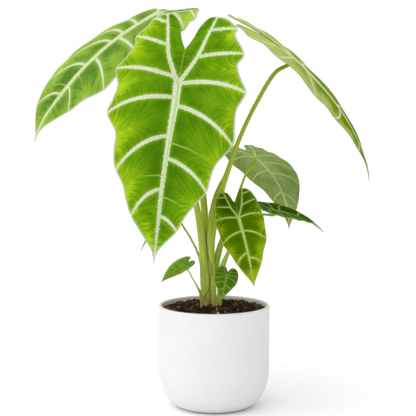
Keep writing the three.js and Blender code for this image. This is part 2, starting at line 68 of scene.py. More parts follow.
def arc(centre, radii, from_degrees, to_degrees, steps):
    """Points of an elliptical arc, as (distance from the axis, height)."""
    angles = np.radians(np.linspace(from_degrees, to_degrees, steps + 1))
    return [(centre[0] + radii[0] * math.cos(a), centre[1] + radii[1] * math.sin(a)) for a in angles]


def new_piece(name, points, faces):
    """A smooth mesh object at the origin, with its place in its mesh."""
    mesh = bpy.data.meshes.new(name)
    mesh.from_pydata([tuple(p) for p in points], [], [tuple(f) for f in faces])
    mesh.update()
    mesh.polygons.foreach_set("use_smooth", [True] * len(mesh.polygons))
    piece = bpy.data.objects.new(name, mesh)
    bpy.context.scene.collection.objects.link(piece)
    return piece


def faces_between_rings(rings, segments):
    """Faces of a closed body of rings of points, whose points 0 and 1 close its first and last ring."""
    faces = []
    for segment in range(segments):
        beside = (segment + 1) % segments
        faces.append((0, 2 + beside, 2 + segment))
        for ring in range(rings - 1):
            here = 2 + ring * segments
            above = here + segments
            faces.append((here + segment, here + beside, above + beside, above + segment))
        last = 2 + (rings - 1) * segments
        faces.append((last + segment, last + beside, 1))
    return faces


def turned(name, profile, segments):
    """A closed body turned about the upright axis, of (radius, height) points that end on the axis."""
    points = [(0, 0, profile[0][1]), (0, 0, profile[-1][1])]
    for radius, height in profile[1:-1]:
        for segment in range(segments):
            angle = 2 * math.pi * segment / segments
            points.append((radius * math.cos(angle), radius * math.sin(angle), height))
    return new_piece(name, points, faces_between_rings(len(profile) - 2, segments))


def new_material(name, roughness, specular):
    """A material with its node tree and its surface shader."""
    material = bpy.data.materials.new(name)
    material.use_nodes = True
    shader = material.node_tree.nodes["Principled BSDF"]
    shader.inputs["Roughness"].default_value = roughness
    shader.inputs["Specular IOR Level"].default_value = specular
    return material, material.node_tree, shader


def add_node(tree, kind, values=None, **settings):
    """Adds a node, sets its options, and fills its inputs with values or with links from other sockets."""
    node = tree.nodes.new(kind)
    for setting, value in settings.items():
        setattr(node, setting, value)
    for key, value in (values or {}).items():
        if isinstance(value, bpy.types.NodeSocket):
            tree.links.new(value, node.inputs[key])
        else:
            node.inputs[key].default_value = value
    return node


def add_step(tree, kind, values=None, **settings):
    """Adds a node in the same way, and returns its first output."""
    return add_node(tree, kind, values, **settings).outputs[0]


def add_math(tree, operation, *values):
    """One arithmetic node, whose inputs are numbers or sockets."""
    return add_step(tree, "ShaderNodeMath", dict(enumerate(values)), operation=operation)


def combine(tree, x, y, z=0.0):
    return add_step(tree, "ShaderNodeCombineXYZ", {0: x, 1: y, 2: z})


def plus(tree, first, second):
    return add_math(tree, "ADD", first, second)


def times(tree, first, second):
    return add_math(tree, "MULTIPLY", first, second)


def object_place(tree):
    return add_node(tree, "ShaderNodeTexCoord").outputs["Object"]


def read_attribute(tree, name):
    return add_node(tree, "ShaderNodeAttribute", attribute_name=name).outputs["Fac"]


def add_noise(tree, place, scale, detail, roughness=0.5):
    """Noise of a given scale at a place, from 0 to 1."""
    values = {"Vector": place, "Scale": scale, "Detail": detail, "Roughness": roughness}
    return add_node(tree, "ShaderNodeTexNoise", values).outputs["Fac"]


def swing(tree, noise, amount):
    """Noise moved to lie about 0, and stretched."""
    return times(tree, add_math(tree, "SUBTRACT", noise, 0.5), amount)


def ramp(tree, value, low, high, to_low=0.0, to_high=1.0):
    """Maps a range of a value softly to another range, held at its ends."""
    values = {0: value, 1: low, 2: high, 3: to_low, 4: to_high}
    return add_step(tree, "ShaderNodeMapRange", values, interpolation_type="SMOOTHSTEP")


def blend(tree, factor, first, second, blend_type="MIX"):
    """Mixes two colours by a factor."""
    node = add_node(tree, "ShaderNodeMix", data_type="RGBA", blend_type=blend_type)
    for socket, value in ((node.inputs[0], factor), (node.inputs[6], first), (node.inputs[7], second)):
        if isinstance(value, bpy.types.NodeSocket):
            tree.links.new(value, socket)
        else:
            socket.default_value = value
    return node.outputs[2]


def srgb(red, green, blue):
    """A colour as a screen shows it, from 0 to 255, in the linear values that a shader takes."""
    shares = (red / 255, green / 255, blue / 255)
    return (*(share / 12.92 if share <= 0.04 else ((share + 0.055) / 1.055) ** 2.4 for share in shares), 1)


def add_bump(tree, shader, height, strength, distance):
    """Raises a surface slightly by a height that varies over it."""
    bump = add_node(tree, "ShaderNodeBump", {"Strength": strength, "Distance": distance, "Height": height})
    tree.links.new(bump.outputs["Normal"], shader.inputs["Normal"])


def make_pot_profile():
    lip = POT_WALL / 2
    outer_foot = (POT_RADIUS - POT_DRAFT - POT_FOOT_RADIUS, POT_FOOT_RISE)
    inner_foot = (POT_INNER_RADIUS - POT_INNER_FOOT_RADIUS, POT_FOOT_RISE - POT_FLOOR)
    return [
        (0, 0),
        (POT_FOOT_RADIUS - POT_FOOT_ROUNDING, 0),
        *arc((POT_FOOT_RADIUS, POT_FOOT_RISE), outer_foot, -88, 0, FOOT_STEPS),
        (POT_RADIUS - POT_DRAFT / 2, POT_HEIGHT * 0.6),
        (POT_RADIUS, POT_HEIGHT - POT_DRAFT_ENDS),
        (POT_RADIUS, POT_HEIGHT - POT_LIP_STARTS),
        *arc((POT_RADIUS - lip, POT_HEIGHT - lip), (lip, lip), 0, 180, ROUNDING_STEPS),
        (POT_INNER_RADIUS, POT_HEIGHT - POT_INNER_WALL_ENDS),
        *arc((POT_INNER_FOOT_RADIUS, POT_FOOT_RISE), inner_foot, 0, -90, ROUNDING_STEPS),
        (0, POT_FLOOR),
    ]


def make_glaze():
    material, tree, shader = new_material("matt_white_glaze", 0.5, 0.3)
    place = object_place(tree)
    cloud = add_noise(tree, place, 38, 4, 0.6)
    grain = add_noise(tree, place, 900, 2)
    tone = ramp(tree, cloud, 0.3, 0.7)
    white = blend(tree, tone, srgb(221, 221, 221), srgb(223, 223, 223))
    tree.links.new(white, shader.inputs["Base Color"])
    tree.links.new(ramp(tree, cloud, 0.3, 0.7, 0.5, 0.56), shader.inputs["Roughness"])
    add_bump(tree, shader, grain, 0.06, 0.0002)
    return material


pot = turned("pot_shell", make_pot_profile(), POT_SEGMENTS)
pot.data.materials.append(make_glaze())
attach(pot, "root")
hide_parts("pot")

# Soil
# Loose potting mix of dark bark chips, fibre and crumbs with white perlite, heaped in a low mound.
# The ground is one lumpy body. The chips, strands and grains on it are scattered by Geometry Nodes.
SOIL_EDGE_DEPTH = 6 * MM
SOIL_MOUND = 5 * MM
SOIL_LUMP = 0.9 * MM
SOIL_CLEARANCE = 0.3 * MM
SOIL_DEPTH = 40 * MM
SOIL_RINGS = 56
SOIL_SEGMENTS = 128
CRUMBS_TO_CLODS = 3.2


def soil_height(x, y):
    """The height of the mound, with the same lumps as the solid, at a place in metres."""
    nearness = np.hypot(x, y) / POT_INNER_RADIUS
    a, b = x / MM, y / MM
    lumps = np.sin(0.31 * a + 0.8) * np.cos(0.27 * b - 0.4) + 0.6 * np.sin(0.53 * a - 0.41 * b)
    mound = POT_HEIGHT - SOIL_EDGE_DEPTH + SOIL_MOUND * (1 - nearness ** 2)
    return float(mound + SOIL_LUMP * lumps * (1 - nearness ** 6))


def make_ground():
    """The body of the soil: a flat foot, a wall that fits the pot and a lumpy top."""
    radius = POT_INNER_RADIUS - SOIL_CLEARANCE
    low = POT_HEIGHT - SOIL_DEPTH
    points = [(0, 0, low), (0, 0, soil_height(0, 0))]
    for ring in range(SOIL_RINGS + 1):
        for segment in range(SOIL_SEGMENTS):
            angle = 2 * math.pi * segment / SOIL_SEGMENTS
            reach = radius * (1 - max(ring - 1, 0) / SOIL_RINGS)
            x, y = reach * math.cos(angle), reach * math.sin(angle)
            points.append((x, y, low if ring == 0 else soil_height(x, y)))
    return new_piece("soil_ground", points, faces_between_rings(SOIL_RINGS + 1, SOIL_SEGMENTS))


def make_earth(name, dark, light, scale, depth):
    """A crumbly surface between two colours. Each scattered bit has its own tint between them."""
    material, tree, shader = new_material(name, 0.92, 0.2)
    place = object_place(tree)
    tint = read_attribute(tree, "tint")
    clod = add_noise(tree, place, scale, 6, 0.7)
    crumbs = {"Vector": place, "Scale": scale * CRUMBS_TO_CLODS}
    crumb = add_node(tree, "ShaderNodeTexVoronoi", crumbs, feature="F1").outputs["Distance"]
    broken = times(tree, ramp(tree, clod, 0.35, 0.72), ramp(tree, crumb, 0.0, 0.7, 0.55))
    tone = plus(tree, times(tree, broken, 0.6), times(tree, tint, 0.5))
    tree.links.new(blend(tree, tone, dark, light), shader.inputs["Base Color"])
    height = plus(tree, clod, times(tree, crumb, 0.6))
    add_bump(tree, shader, height, 0.9, depth)
    return material


def make_perlite():
    material, tree, shader = new_material("perlite", 0.85, 0.2)
    place = object_place(tree)
    pits = add_noise(tree, place, 1400, 3, 0.6)
    colour = blend(tree, ramp(tree, pits, 0.35, 0.7), srgb(206, 200, 190), srgb(248, 245, 238))
    tree.links.new(colour, shader.inputs["Base Color"])
    add_bump(tree, shader, pits, 0.7, 0.0004)
    return material


# How many there are to a square metre, their length in metres, their width, height and roughness as shares
# of it, how far they lie above the ground, how far from the middle they reach, their tilt, and the seed
SCATTER_INPUTS = ("Density", "Size", "Width Share", "Height Share", "Roughness", "Lift", "Reach", "Tilt",
                  "Seed")
SMALLEST_SHARE = 0.45
LARGEST_SHARE = 1.35
LUMP_NOISE = 420
TINT_SEED = 5


def new_tree(name, kind, inputs, outputs):
    """A node tree and its input sockets. Inputs and outputs are given as {label: kind of value}."""
    tree = bpy.data.node_groups.new(name, kind)
    for way, sockets in (("INPUT", inputs), ("OUTPUT", outputs)):
        for label, value in sockets.items():
            tree.interface.new_socket(label, in_out=way, socket_type="NodeSocket" + value)
    return tree, add_node(tree, "NodeGroupInput").outputs


def finish_rough(tree, geometry, noise_scale, amount, material):
    """Ends a tree: makes its geometry real, moves its points a little, and gives it its material."""
    real = add_step(tree, "GeometryNodeRealizeInstances", {0: geometry})
    place = add_step(tree, "GeometryNodeInputPosition")
    wobble = {"Vector": place, "Scale": noise_scale, "Detail": 2}
    wobble = add_node(tree, "ShaderNodeTexNoise", wobble).outputs["Color"]
    centred = {0: wobble, 1: (0.5, 0.5, 0.5)}
    centred = add_step(tree, "ShaderNodeVectorMath", centred, operation="SUBTRACT")
    shift = add_step(tree, "ShaderNodeVectorMath", {0: centred, "Scale": amount}, operation="SCALE")
    rough = add_step(tree, "GeometryNodeSetPosition", {"Geometry": real, "Offset": shift})
    dressed = add_step(tree, "GeometryNodeSetMaterial", {"Geometry": rough, "Material": material})
    add_node(tree, "NodeGroupOutput", {0: dressed})


def make_scatter_tree(name, material, long_shape):
    """Scatters rough lumps, or thin bent strands, over the upper side of the piece it is on."""
    *sizes, seed_label = SCATTER_INPUTS
    inputs = {"Geometry": "Geometry", **dict.fromkeys(sizes, "Float"), seed_label: "Int"}
    tree, given = new_tree(name, "GeometryNodeTree", inputs, {"Geometry": "Geometry"})
    seed, tilt = given["Seed"], given["Tilt"]
    place = add_step(tree, "GeometryNodeInputPosition")
    normal = add_step(tree, "GeometryNodeInputNormal")
    upright = add_node(tree, "ShaderNodeSeparateXYZ", {0: normal}).outputs[2]
    on_top = add_step(tree, "FunctionNodeCompare", {0: upright, 1: 0.5}, operation="GREATER_THAN")
    flat_place = add_step(tree, "ShaderNodeVectorMath", {0: place, 1: (1, 1, 0)}, operation="MULTIPLY")
    from_axis = add_node(tree, "ShaderNodeVectorMath", {0: flat_place}, operation="LENGTH")
    within = {0: from_axis.outputs["Value"], 1: given["Reach"]}
    within = add_step(tree, "FunctionNodeCompare", within, operation="LESS_THAN")
    chosen = add_step(tree, "FunctionNodeBooleanMath", {0: on_top, 1: within}, operation="AND")
    spots = add_step(tree, "GeometryNodeDistributePointsOnFaces", {
        "Mesh": given["Geometry"], "Selection": chosen, "Density": given["Density"], "Seed": seed})
    if long_shape:
        rod = {"Vertices": 5, "Side Segments": 7, "Radius": 0.5, "Depth": 1.0}
        rod = add_step(tree, "GeometryNodeMeshCylinder", rod)
        lying = {"Geometry": rod, "Rotation": (0, math.pi / 2, 0)}
        shape = add_step(tree, "GeometryNodeTransform", lying)
    else:
        shape = add_step(tree, "GeometryNodeMeshIcoSphere", {"Radius": 0.5, "Subdivisions": 2})
    share = {2: SMALLEST_SHARE, 3: LARGEST_SHARE, "Seed": seed}
    share = add_node(tree, "FunctionNodeRandomValue", share, data_type="FLOAT").outputs[1]
    length = times(tree, share, given["Size"])
    scale = combine(tree, length, times(tree, length, given["Width Share"]),
                    times(tree, length, given["Height Share"]))
    back = times(tree, tilt, -1.0)
    turn = {0: combine(tree, back, back), 1: combine(tree, tilt, tilt, 2 * math.pi), "Seed": seed}
    turn = add_step(tree, "FunctionNodeRandomValue", turn, data_type="FLOAT_VECTOR")
    placed = add_step(tree, "GeometryNodeInstanceOnPoints", {
        "Points": spots, "Instance": shape, "Rotation": turn, "Scale": scale})
    lifted = add_step(tree, "GeometryNodeTranslateInstances", {
        "Instances": placed, "Translation": combine(tree, 0.0, 0.0, given["Lift"])})
    tint = {2: 0.0, 3: 1.0, "Seed": TINT_SEED}
    tint = add_node(tree, "FunctionNodeRandomValue", tint, data_type="FLOAT").outputs[1]
    tinted = add_step(tree, "GeometryNodeStoreNamedAttribute",
                      {"Geometry": lifted, "Name": "tint", "Value": tint},
                      data_type="FLOAT", domain="INSTANCE")
    finish_rough(tree, tinted, LUMP_NOISE, times(tree, given["Roughness"], given["Size"]), material)
    return tree


def grown(name, source, tree, sizes):
    """Runs a node tree on a copy of a piece and keeps the result as a plain mesh piece."""
    carrier = source.copy()
    bpy.context.scene.collection.objects.link(carrier)
    modifier = carrier.modifiers.new(name, "NODES")
    modifier.node_group = tree
    for item in tree.interface.items_tree:
        if item.in_out == "INPUT" and item.name in sizes:
            modifier[item.identifier] = sizes[item.name]
    evaluated = carrier.evaluated_get(bpy.context.evaluated_depsgraph_get())
    mesh = bpy.data.meshes.new_from_object(evaluated)
    mesh.name = name
    mesh.polygons.foreach_set("use_smooth", [True] * len(mesh.polygons))
    bpy.data.objects.remove(carrier)
    piece = bpy.data.objects.new(name, mesh)
    bpy.context.scene.collection.objects.link(piece)
    return piece


ground = make_ground()
ground.data.materials.append(make_earth("dark_earth", srgb(14, 10, 7), srgb(50, 32, 21), 260, 0.0022))
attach(ground, "root")
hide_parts("soil")

bark = make_earth("bark", srgb(30, 19, 11), srgb(158, 110, 72), 420, 0.0012)
dark_bark = make_earth("dark_bark", srgb(11, 8, 5), srgb(74, 48, 31), 420, 0.0012)
fibre = make_earth("fibre", srgb(50, 32, 20), srgb(140, 98, 64), 600, 0.0004)
SCATTERED = [
    ("soil_crumbs", dark_bark, False, (34000.0, 0.0045, 0.8, 0.75, 0.9, 0.0, 0.0625, 0.6, 3)),
    ("soil_bark", bark, False, (6500.0, 0.0080, 0.5, 0.36, 0.8, 0.0008, 0.060, 0.6, 11)),
    ("soil_fibre", fibre, True, (4200.0, 0.011, 0.055, 0.055, 0.4, 0.0014, 0.057, 0.8, 23)),
    ("soil_perlite", make_perlite(), False, (2000.0, 0.0027, 0.85, 0.8, 0.4, 0.0017, 0.060, 0.5, 7)),
]
for label, material, long_shape, sizes in SCATTERED:
    tree = make_scatter_tree(label + "_tree", material, long_shape)
    layer = grown(label, ground, tree, dict(zip(SCATTER_INPUTS, sizes)))
    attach(layer, "root")

# Stalks
# Each leaf stands on its own fleshy, tapered, yellow-green stalk, streaked lengthwise.
# Low down the stalks broaden and clasp each other. Each runs up to the underside of its own blade.

# Lengths in millimetres, angles in degrees. wide and rear stretch the halves and the lobes behind the
# stalk. junction is where the stalk meets the blade. heading, pitch and roll turn the blade, twist turns
# it along the midrib, and sway moves it sideways. droop and sag bend the midrib, curl and tuck the lobes,
# fold and edge the halves. scallop draws the margin in between veins, and wave raises the blade there.
# route: (x, y, z, half the stalk's width), and depth is half the stalk's depth at its foot.
LEAVES = [
    dict(name="front", length=217, wide=1, rear=1, junction=(-43, -68, 403), heading=-132, pitch=-74,
         roll=24.5, droop=14.7, sag=8, curl=24, tuck=0, fold=11, edge=16, twist=-12, sway=0, scallop=0,
         wave=2.4, depth=4.4,
         route=[(-9.6, -3.8, 130, 5.1), (-11.4, -3.8, 155, 5.8), (-12.4, -3.8, 178, 5.5),
                (-15.3, -4.2, 211, 4.6), (-18.8, -7, 237, 4.2), (-22, -11, 256, 3.8),
                (-30, -26, 318, 3.2), (-37.5, -44, 367, 2.8)]),
    dict(name="upper_left", length=249, wide=0.95, rear=0.52, junction=(-72, 48, 491), heading=180.5,
         pitch=-17, roll=16.5, droop=25, sag=50, curl=48, tuck=2, fold=8, edge=36, twist=-32,
         sway=0.165, scallop=0.035, wave=2.2, depth=4.3,
         route=[(-11.6, 5.6, 130, 4.4), (-11.4, 5.6, 160, 4.5), (-10.9, 5.8, 200, 4.6),
                (-11.3, 6.4, 235, 4.4), (-14.2, 10, 270, 4.2), (-22.5, 20, 335, 3.6),
                (-38, 31, 410, 3.1), (-53, 40, 454, 2.8)]),
    dict(name="right", length=208, wide=0.965, rear=1.115, junction=(97.6, 10, 436), heading=23,
         pitch=-38, roll=-25.3, droop=14.5, sag=23.5, curl=41, tuck=0, fold=2, edge=11, twist=11.3,
         sway=-0.035, scallop=0.03, wave=2.0, depth=4.0,
         route=[(-0.6, -3.9, 130, 3.3), (-1, -3.9, 145, 3.6), (-2.2, -3.9, 173, 3.9),
                (-3.9, -4, 196, 4.7), (-3.3, -4.2, 218, 5.6), (1.2, -5.4, 248, 6.5),
                (5.2, -5.8, 265, 6), (9.6, -6.3, 278, 4.9), (15.2, -7, 292, 3.5), (30, -8, 334, 2.8),
                (51.8, -4, 380, 2.6), (76.5, 5, 419, 2.5)]),
    dict(name="mid_right", length=124, wide=0.95, rear=0.81, junction=(51.8, 20, 312.6), heading=47.5,
         pitch=-29, roll=4.5, droop=26.3, sag=44.5, curl=32, tuck=0, fold=10.7, edge=29.5, twist=-8.5,
         sway=0, scallop=0.02, wave=1.2, depth=3.0,
         route=[(-0.4, 4.6, 130, 3.2), (0.2, 4.6, 155, 3.4), (2.8, 4.4, 177, 3.8), (5.6, 4.2, 194, 4.1),
                (11.8, 3.2, 214, 3.3), (21.4, 2, 241, 2.3), (32, 1, 272, 1.7), (41, 5, 295, 1.6)]),
    dict(name="low_front", length=88.5, wide=0.925, rear=1.06, junction=(30, -32, 241), heading=-64.5,
         pitch=-63, roll=-29, droop=16, sag=8.5, curl=21, tuck=0, fold=15.5, edge=30, twist=0,
         sway=0.02, scallop=0.045, wave=1.0, depth=2.5,
         route=[(6.4, -2.8, 130, 2.6), (6.8, -3, 152, 2.7), (8.2, -5, 172, 3), (11.6, -6.5, 182, 3.1),
                (17.6, -9.5, 196, 2.2), (23.6, -16, 211, 1.8)]),
    dict(name="low_right", length=82, wide=1.0, rear=1.04, junction=(77, 16, 245), heading=24.5,
         pitch=-11, roll=-14, droop=14, sag=17, curl=-31, tuck=0, fold=15.5, edge=23.5, twist=4.3,
         sway=0, scallop=0.025, wave=0.8, depth=2.5,
         route=[(7.8, 4.3, 130, 2.5), (8.4, 4.3, 149, 2.6), (11.4, 5, 174, 2.8), (19.5, 7, 196, 2),
                (37, 10, 221, 1.7), (57, 14, 240, 1.5)]),
    dict(name="behind", length=72, wide=0.95, rear=0.95, junction=(-52, 23, 251), heading=188,
         pitch=-49, roll=0, droop=8, sag=4, curl=15, tuck=0, fold=12, edge=25, twist=0, sway=0,
         scallop=0.02, wave=0.8, depth=2.2,
         route=[(-14.2, 13, 130, 1.8), (-14.6, 13, 158, 1.8), (-18.8, 13.5, 187, 1.5),
                (-29.8, 15.5, 211, 1.4), (-41, 18, 229, 1.3)]),
    dict(name="small_left", length=35.5, wide=1.0, rear=1.0, junction=(-38.3, -20, 181.5), heading=-157,
         pitch=-29.5, roll=22.5, droop=8.5, sag=5, curl=13.5, tuck=0, fold=15.5, edge=20.5, twist=1,
         sway=0, scallop=0.01, wave=0.4, depth=1.5,
         route=[(-15.6, -13.5, 129.5, 1.5), (-16.6, -14.6, 144, 2.1), (-21.4, -17, 155, 1.2),
                (-27.2, -18.5, 165.5, 0.9), (-32.4, -19, 175, 0.9)]),
    dict(name="small_front", length=39.5, wide=1.0, rear=1.06, junction=(15.4, -35, 170),
         heading=-101.5, pitch=-31, roll=14.7, droop=11, sag=11, curl=9, tuck=0, fold=15.7, edge=24,
         twist=-3.8, sway=0, scallop=0.01, wave=0.4, depth=1.4,
         route=[(3.6, -13, 129.5, 1.4), (3.8, -16.5, 140, 1.2), (6.1, -22, 151, 1),
                (10.9, -29, 163, 0.9)]),
]
STALK_BASE = 112
STALK_NECK = 3.4
NECK_LEAN = 0.2
NECK_OVERLAP = 0.2
MOST_DEPTH_OVER_WIDTH = 0.6
STALK_SIDES = 36
STEPS_A_STRETCH = 18
YOUNG_STALK = "mid_right"


def blade_axes(leaf):
    """The blade's own axes at the stalk: along the midrib, across it and out of the upper surface."""
    heading, pitch, roll = (math.radians(leaf[key]) for key in ("heading", "pitch", "roll"))
    level = math.cos(pitch)
    along = np.array([level * math.cos(heading), level * math.sin(heading), math.sin(pitch)])
    up = np.array([0, 0, 1]) - along[2] * along
    up /= np.linalg.norm(up)
    face = math.cos(roll) * up + math.sin(roll) * np.cross(up, along)
    return along, np.cross(face, along), face


def smooth_path(points):
    """A smooth curve through the points, with its directions and its place between the points."""
    given = np.array(points, float)
    padded = np.vstack([2 * given[0] - given[1], given, 2 * given[-1] - given[-2]])
    places, ways = [], []
    for a, b, c, d in zip(padded, padded[1:], padded[2:], padded[3:]):
        before, here, after = (np.linalg.norm(q - p) ** 0.5 for p, q in ((a, b), (b, c), (c, d)))
        start = here * ((b - a) / before - (c - a) / (before + here) + (c - b) / here)
        finish = here * ((c - b) / here - (d - b) / (here + after) + (d - c) / after)
        for t in np.arange(STEPS_A_STRETCH) / STEPS_A_STRETCH:
            places.append((2 * t**3 - 3 * t**2 + 1) * b + (t**3 - 2 * t**2 + t) * start
                          + (3 * t**2 - 2 * t**3) * c + (t**3 - t**2) * finish)
            ways.append((6 * t**2 - 6 * t) * b + (3 * t**2 - 4 * t + 1) * start
                        + (6 * t - 6 * t**2) * c + (3 * t**2 - 2 * t) * finish)
    places.append(given[-1])
    ways.append(given[-1] - given[-2])
    ways = np.array(ways)
    stations = np.linspace(0, len(given) - 1, len(places))
    return np.array(places), ways / np.linalg.norm(ways, axis=1)[:, None], stations


def curve_at(points, shares):
    """Places on a smooth curve through evenly counted points, at shares of its whole from 0 to 1."""
    given = np.array(points, float)
    last = len(given) - 1
    position = np.clip(np.asarray(shares, float), 0, 1) * last
    start = np.minimum(position.astype(int), last - 1)
    t = (position - start)[..., None]
    a, b, c, d = (given[np.clip(start + offset, 0, last)] for offset in (-1, 0, 1, 2))
    bend = (2 * a - 5 * b + 4 * c - d) * t**2 + (3 * b - a - 3 * c + d) * t**3
    return 0.5 * (2 * b + (c - a) * t + bend)


def stalk_path(leaf):
    """The stalk's middle line, its directions, and its half width and half depth at each step."""
    along, _, face = blade_axes(leaf)
    *route, widths = (list(column) for column in zip(*leaf["route"]))
    points = [np.array(place, float) for place in zip(*route)]
    junction = np.array(leaf["junction"], float)
    neck = STALK_NECK * widths[-1]
    foot = points[0] * (1, 1, 0) + (0, 0, STALK_BASE)
    neck_start = junction - face * neck + along * NECK_LEAN * neck
    places, ways, stations = smooth_path([foot, *points, neck_start, junction - face * NECK_OVERLAP])
    all_widths = [[width] for width in (widths[0], *widths, widths[-1], widths[-1])]
    half_widths = curve_at(all_widths, stations / stations[-1])[:, 0]
    share = np.linspace(0, 1, len(places))
    half_depths = leaf["depth"] + (widths[-1] - leaf["depth"]) * share ** 0.6
    return places, ways, half_widths, np.minimum(half_depths, half_widths + MOST_DEPTH_OVER_WIDTH)


def set_floats(piece, name, values):
    attribute = piece.data.attributes.new(name, "FLOAT", "POINT")
    attribute.data.foreach_set("value", np.asarray(values, dtype=np.float32).ravel())


def make_stalk(leaf):
    places, ways, half_widths, half_depths = stalk_path(leaf)
    normal = np.array([1.0, 0, 0])
    angles = 2 * math.pi * np.arange(STALK_SIDES) / STALK_SIDES
    rings = []
    for place, way, half_width, half_depth in zip(places, ways, half_widths, half_depths):
        normal = normal - normal.dot(way) * way
        normal /= np.linalg.norm(normal)
        rings.append(place + half_width * np.outer(np.cos(angles), normal)
                     + half_depth * np.outer(np.sin(angles), np.cross(way, normal)))
    count = len(places)
    beside = np.roll(np.arange(STALK_SIDES), -1)
    faces = []
    for step in range(count - 1):
        here = step * STALK_SIDES
        above = here + STALK_SIDES
        faces += [(here + side, here + beside[side], above + beside[side], above + side)
                  for side in range(STALK_SIDES)]
    faces.append(range(STALK_SIDES - 1, -1, -1))
    faces.append(range((count - 1) * STALK_SIDES, count * STALK_SIDES))
    piece = new_piece("stalk_of_" + leaf["name"], np.vstack(rings) * MM, faces)
    lengths = np.concatenate([[0], np.cumsum(np.linalg.norm(np.diff(places, axis=0), axis=1))])
    set_floats(piece, "around", np.tile(np.abs(2 * np.arange(STALK_SIDES) / STALK_SIDES - 1), count))
    set_floats(piece, "along", np.repeat(lengths, STALK_SIDES))
    young = (leaf["name"] == YOUNG_STALK) * lengths / lengths[-1]
    set_floats(piece, "young", np.repeat(young, STALK_SIDES))
    return piece


def make_stalk_skin():
    """Fleshy skin: yellow-green, streaked lengthwise, paler in the sheaths and tan at the very foot."""
    material, tree, shader = new_material("stalk_skin", 0.5, 0.15)
    place = object_place(tree)
    height = add_node(tree, "ShaderNodeSeparateXYZ", {0: place}).outputs[2]
    around = times(tree, read_attribute(tree, "around"), 5.0)
    lengthwise = combine(tree, around, times(tree, read_attribute(tree, "along"), 0.012))
    streak = add_noise(tree, lengthwise, 2.6, 3)
    fine_streak = add_noise(tree, lengthwise, 9, 3)
    blotch = add_noise(tree, place, 45, 3)
    tone = plus(tree, times(tree, streak, 0.65), times(tree, fine_streak, 0.35))
    tone = ramp(tree, tone, 0.36, 0.64)
    fresh = blend(tree, tone, srgb(150, 168, 26), srgb(176, 190, 62))
    pale = blend(tree, tone, srgb(148, 170, 36), srgb(186, 202, 96))
    colour = blend(tree, ramp(tree, height, 0.20, 0.30, 1.0, 0.0), fresh, pale)
    colour = blend(tree, ramp(tree, blotch, 0.5, 0.8, 0.0, 0.3), colour, srgb(112, 138, 26))
    young = ramp(tree, read_attribute(tree, "young"), 0.5, 0.8, 0.0, 0.6)
    colour = blend(tree, young, colour, srgb(140, 200, 16))
    foot = ramp(tree, height, 0.135, 0.150, 1.0, 0.0)
    foot = times(tree, foot, ramp(tree, blotch, 0.42, 0.62, 0.1, 0.55))
    colour = blend(tree, foot, colour, srgb(170, 140, 84))
    tree.links.new(colour, shader.inputs["Base Color"])
    add_bump(tree, shader, fine_streak, 0.15, 0.0003)
    shader.inputs["Subsurface Weight"].default_value = 0.12
    shader.inputs["Subsurface Radius"].default_value = (0.002, 0.003, 0.001)
    shader.inputs["Subsurface Scale"].default_value = 1.0
    return material


stalk_skin = make_stalk_skin()
for leaf in LEAVES:
    stalk = make_stalk(leaf)
    stalk.data.materials.append(stalk_skin)
    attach(stalk, "root")
    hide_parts("stalk_" + leaf["name"])

# Sheath edges
# Where a stalk clasps the younger ones, its thin flange dries to a narrow brown edge down the stalks.
# Each edge is a tapered strip of dry tissue in front of the stalks, and a fleshy wall closes the clump.

# (x, z) in millimetres, as seen from the front, from the top of the sheath down
SHEATH_EDGES = {
    "clump": [(-8.9, 225), (-10.1, 213), (-8.2, 201), (-6.9, 189), (-2.9, 176), (-4.5, 161),
              (-6.2, 150), (-10.1, 142), (-14.0, 131)],
    "crossing": [(-13.1, 141), (-9.4, 136), (-3.0, 129.5)],
    "right": [(10.5, 284), (6.2, 279), (3, 272), (0, 264), (-3.2, 254.7), (-5.7, 245.5),
              (-6.8, 236.6)],
    "mid_right": [(6.6, 211), (4.3, 205), (1.8, 194)],
    "small_left": [(-17.6, 150), (-16.6, 145), (-15.2, 131)],
}
SHEATH_WALL = [(-5.0, 193), (-5.0, 170), (-5.0, 150), (-4.5, 131)]
SHEATH_WALL_DEPTH = -2.6
WALL_HALF_WIDTH = 1.5 * MM
WALL_STEPS = 40
EDGE_HALF_WIDTH = 0.55 * MM
EDGE_RAGGEDNESS = 0.6 * MM
EDGE_NOISE = 500
EDGE_SPACING = 1.2

stalk_paths = [stalk_path(leaf) for leaf in LEAVES]


def front_of_stalks(x, z):
    """How far forward the foremost stalk stands at a place of the front view, in millimetres."""
    front = None
    for places, _, half_widths, half_depths in stalk_paths:
        columns = (places[:, 0], places[:, 1], half_widths, half_depths)
        middle, depth_place, half_width, half_depth = (
            np.interp(z, places[:, 2], values) for values in columns)
        off = (x - middle) / half_width
        if abs(off) < 1 and places[0, 2] < z < places[-1, 2]:
            y = depth_place - half_depth * math.sqrt(1 - off ** 2)
            front = y if front is None else min(front, y)
    return front


def make_edge_tree(material):
    """Lays a round strip along a line, thinning towards its ends, with a slightly ragged outline."""
    inputs = {"Geometry": "Geometry", "Half Width": "Float", "Raggedness": "Float"}
    tree, given = new_tree("sheath_edge_tree", "GeometryNodeTree", inputs, {"Geometry": "Geometry"})
    line = add_step(tree, "GeometryNodeMeshToCurve", {"Mesh": given["Geometry"]})
    share = add_node(tree, "GeometryNodeSplineParameter").outputs["Factor"]
    from_end = times(tree, share, add_math(tree, "SUBTRACT", 1.0, share))
    taper = plus(tree, 0.35, ramp(tree, from_end, 0.0, 0.09, 0.0, 0.65))
    radius = times(tree, taper, given["Half Width"])
    circle = add_step(tree, "GeometryNodeCurvePrimitiveCircle", {"Resolution": 10, "Radius": 1.0})
    tube = add_step(tree, "GeometryNodeCurveToMesh", {
        "Curve": line, "Profile Curve": circle, "Scale": radius, "Fill Caps": True})
    finish_rough(tree, tube, EDGE_NOISE, given["Raggedness"], material)
    return tree


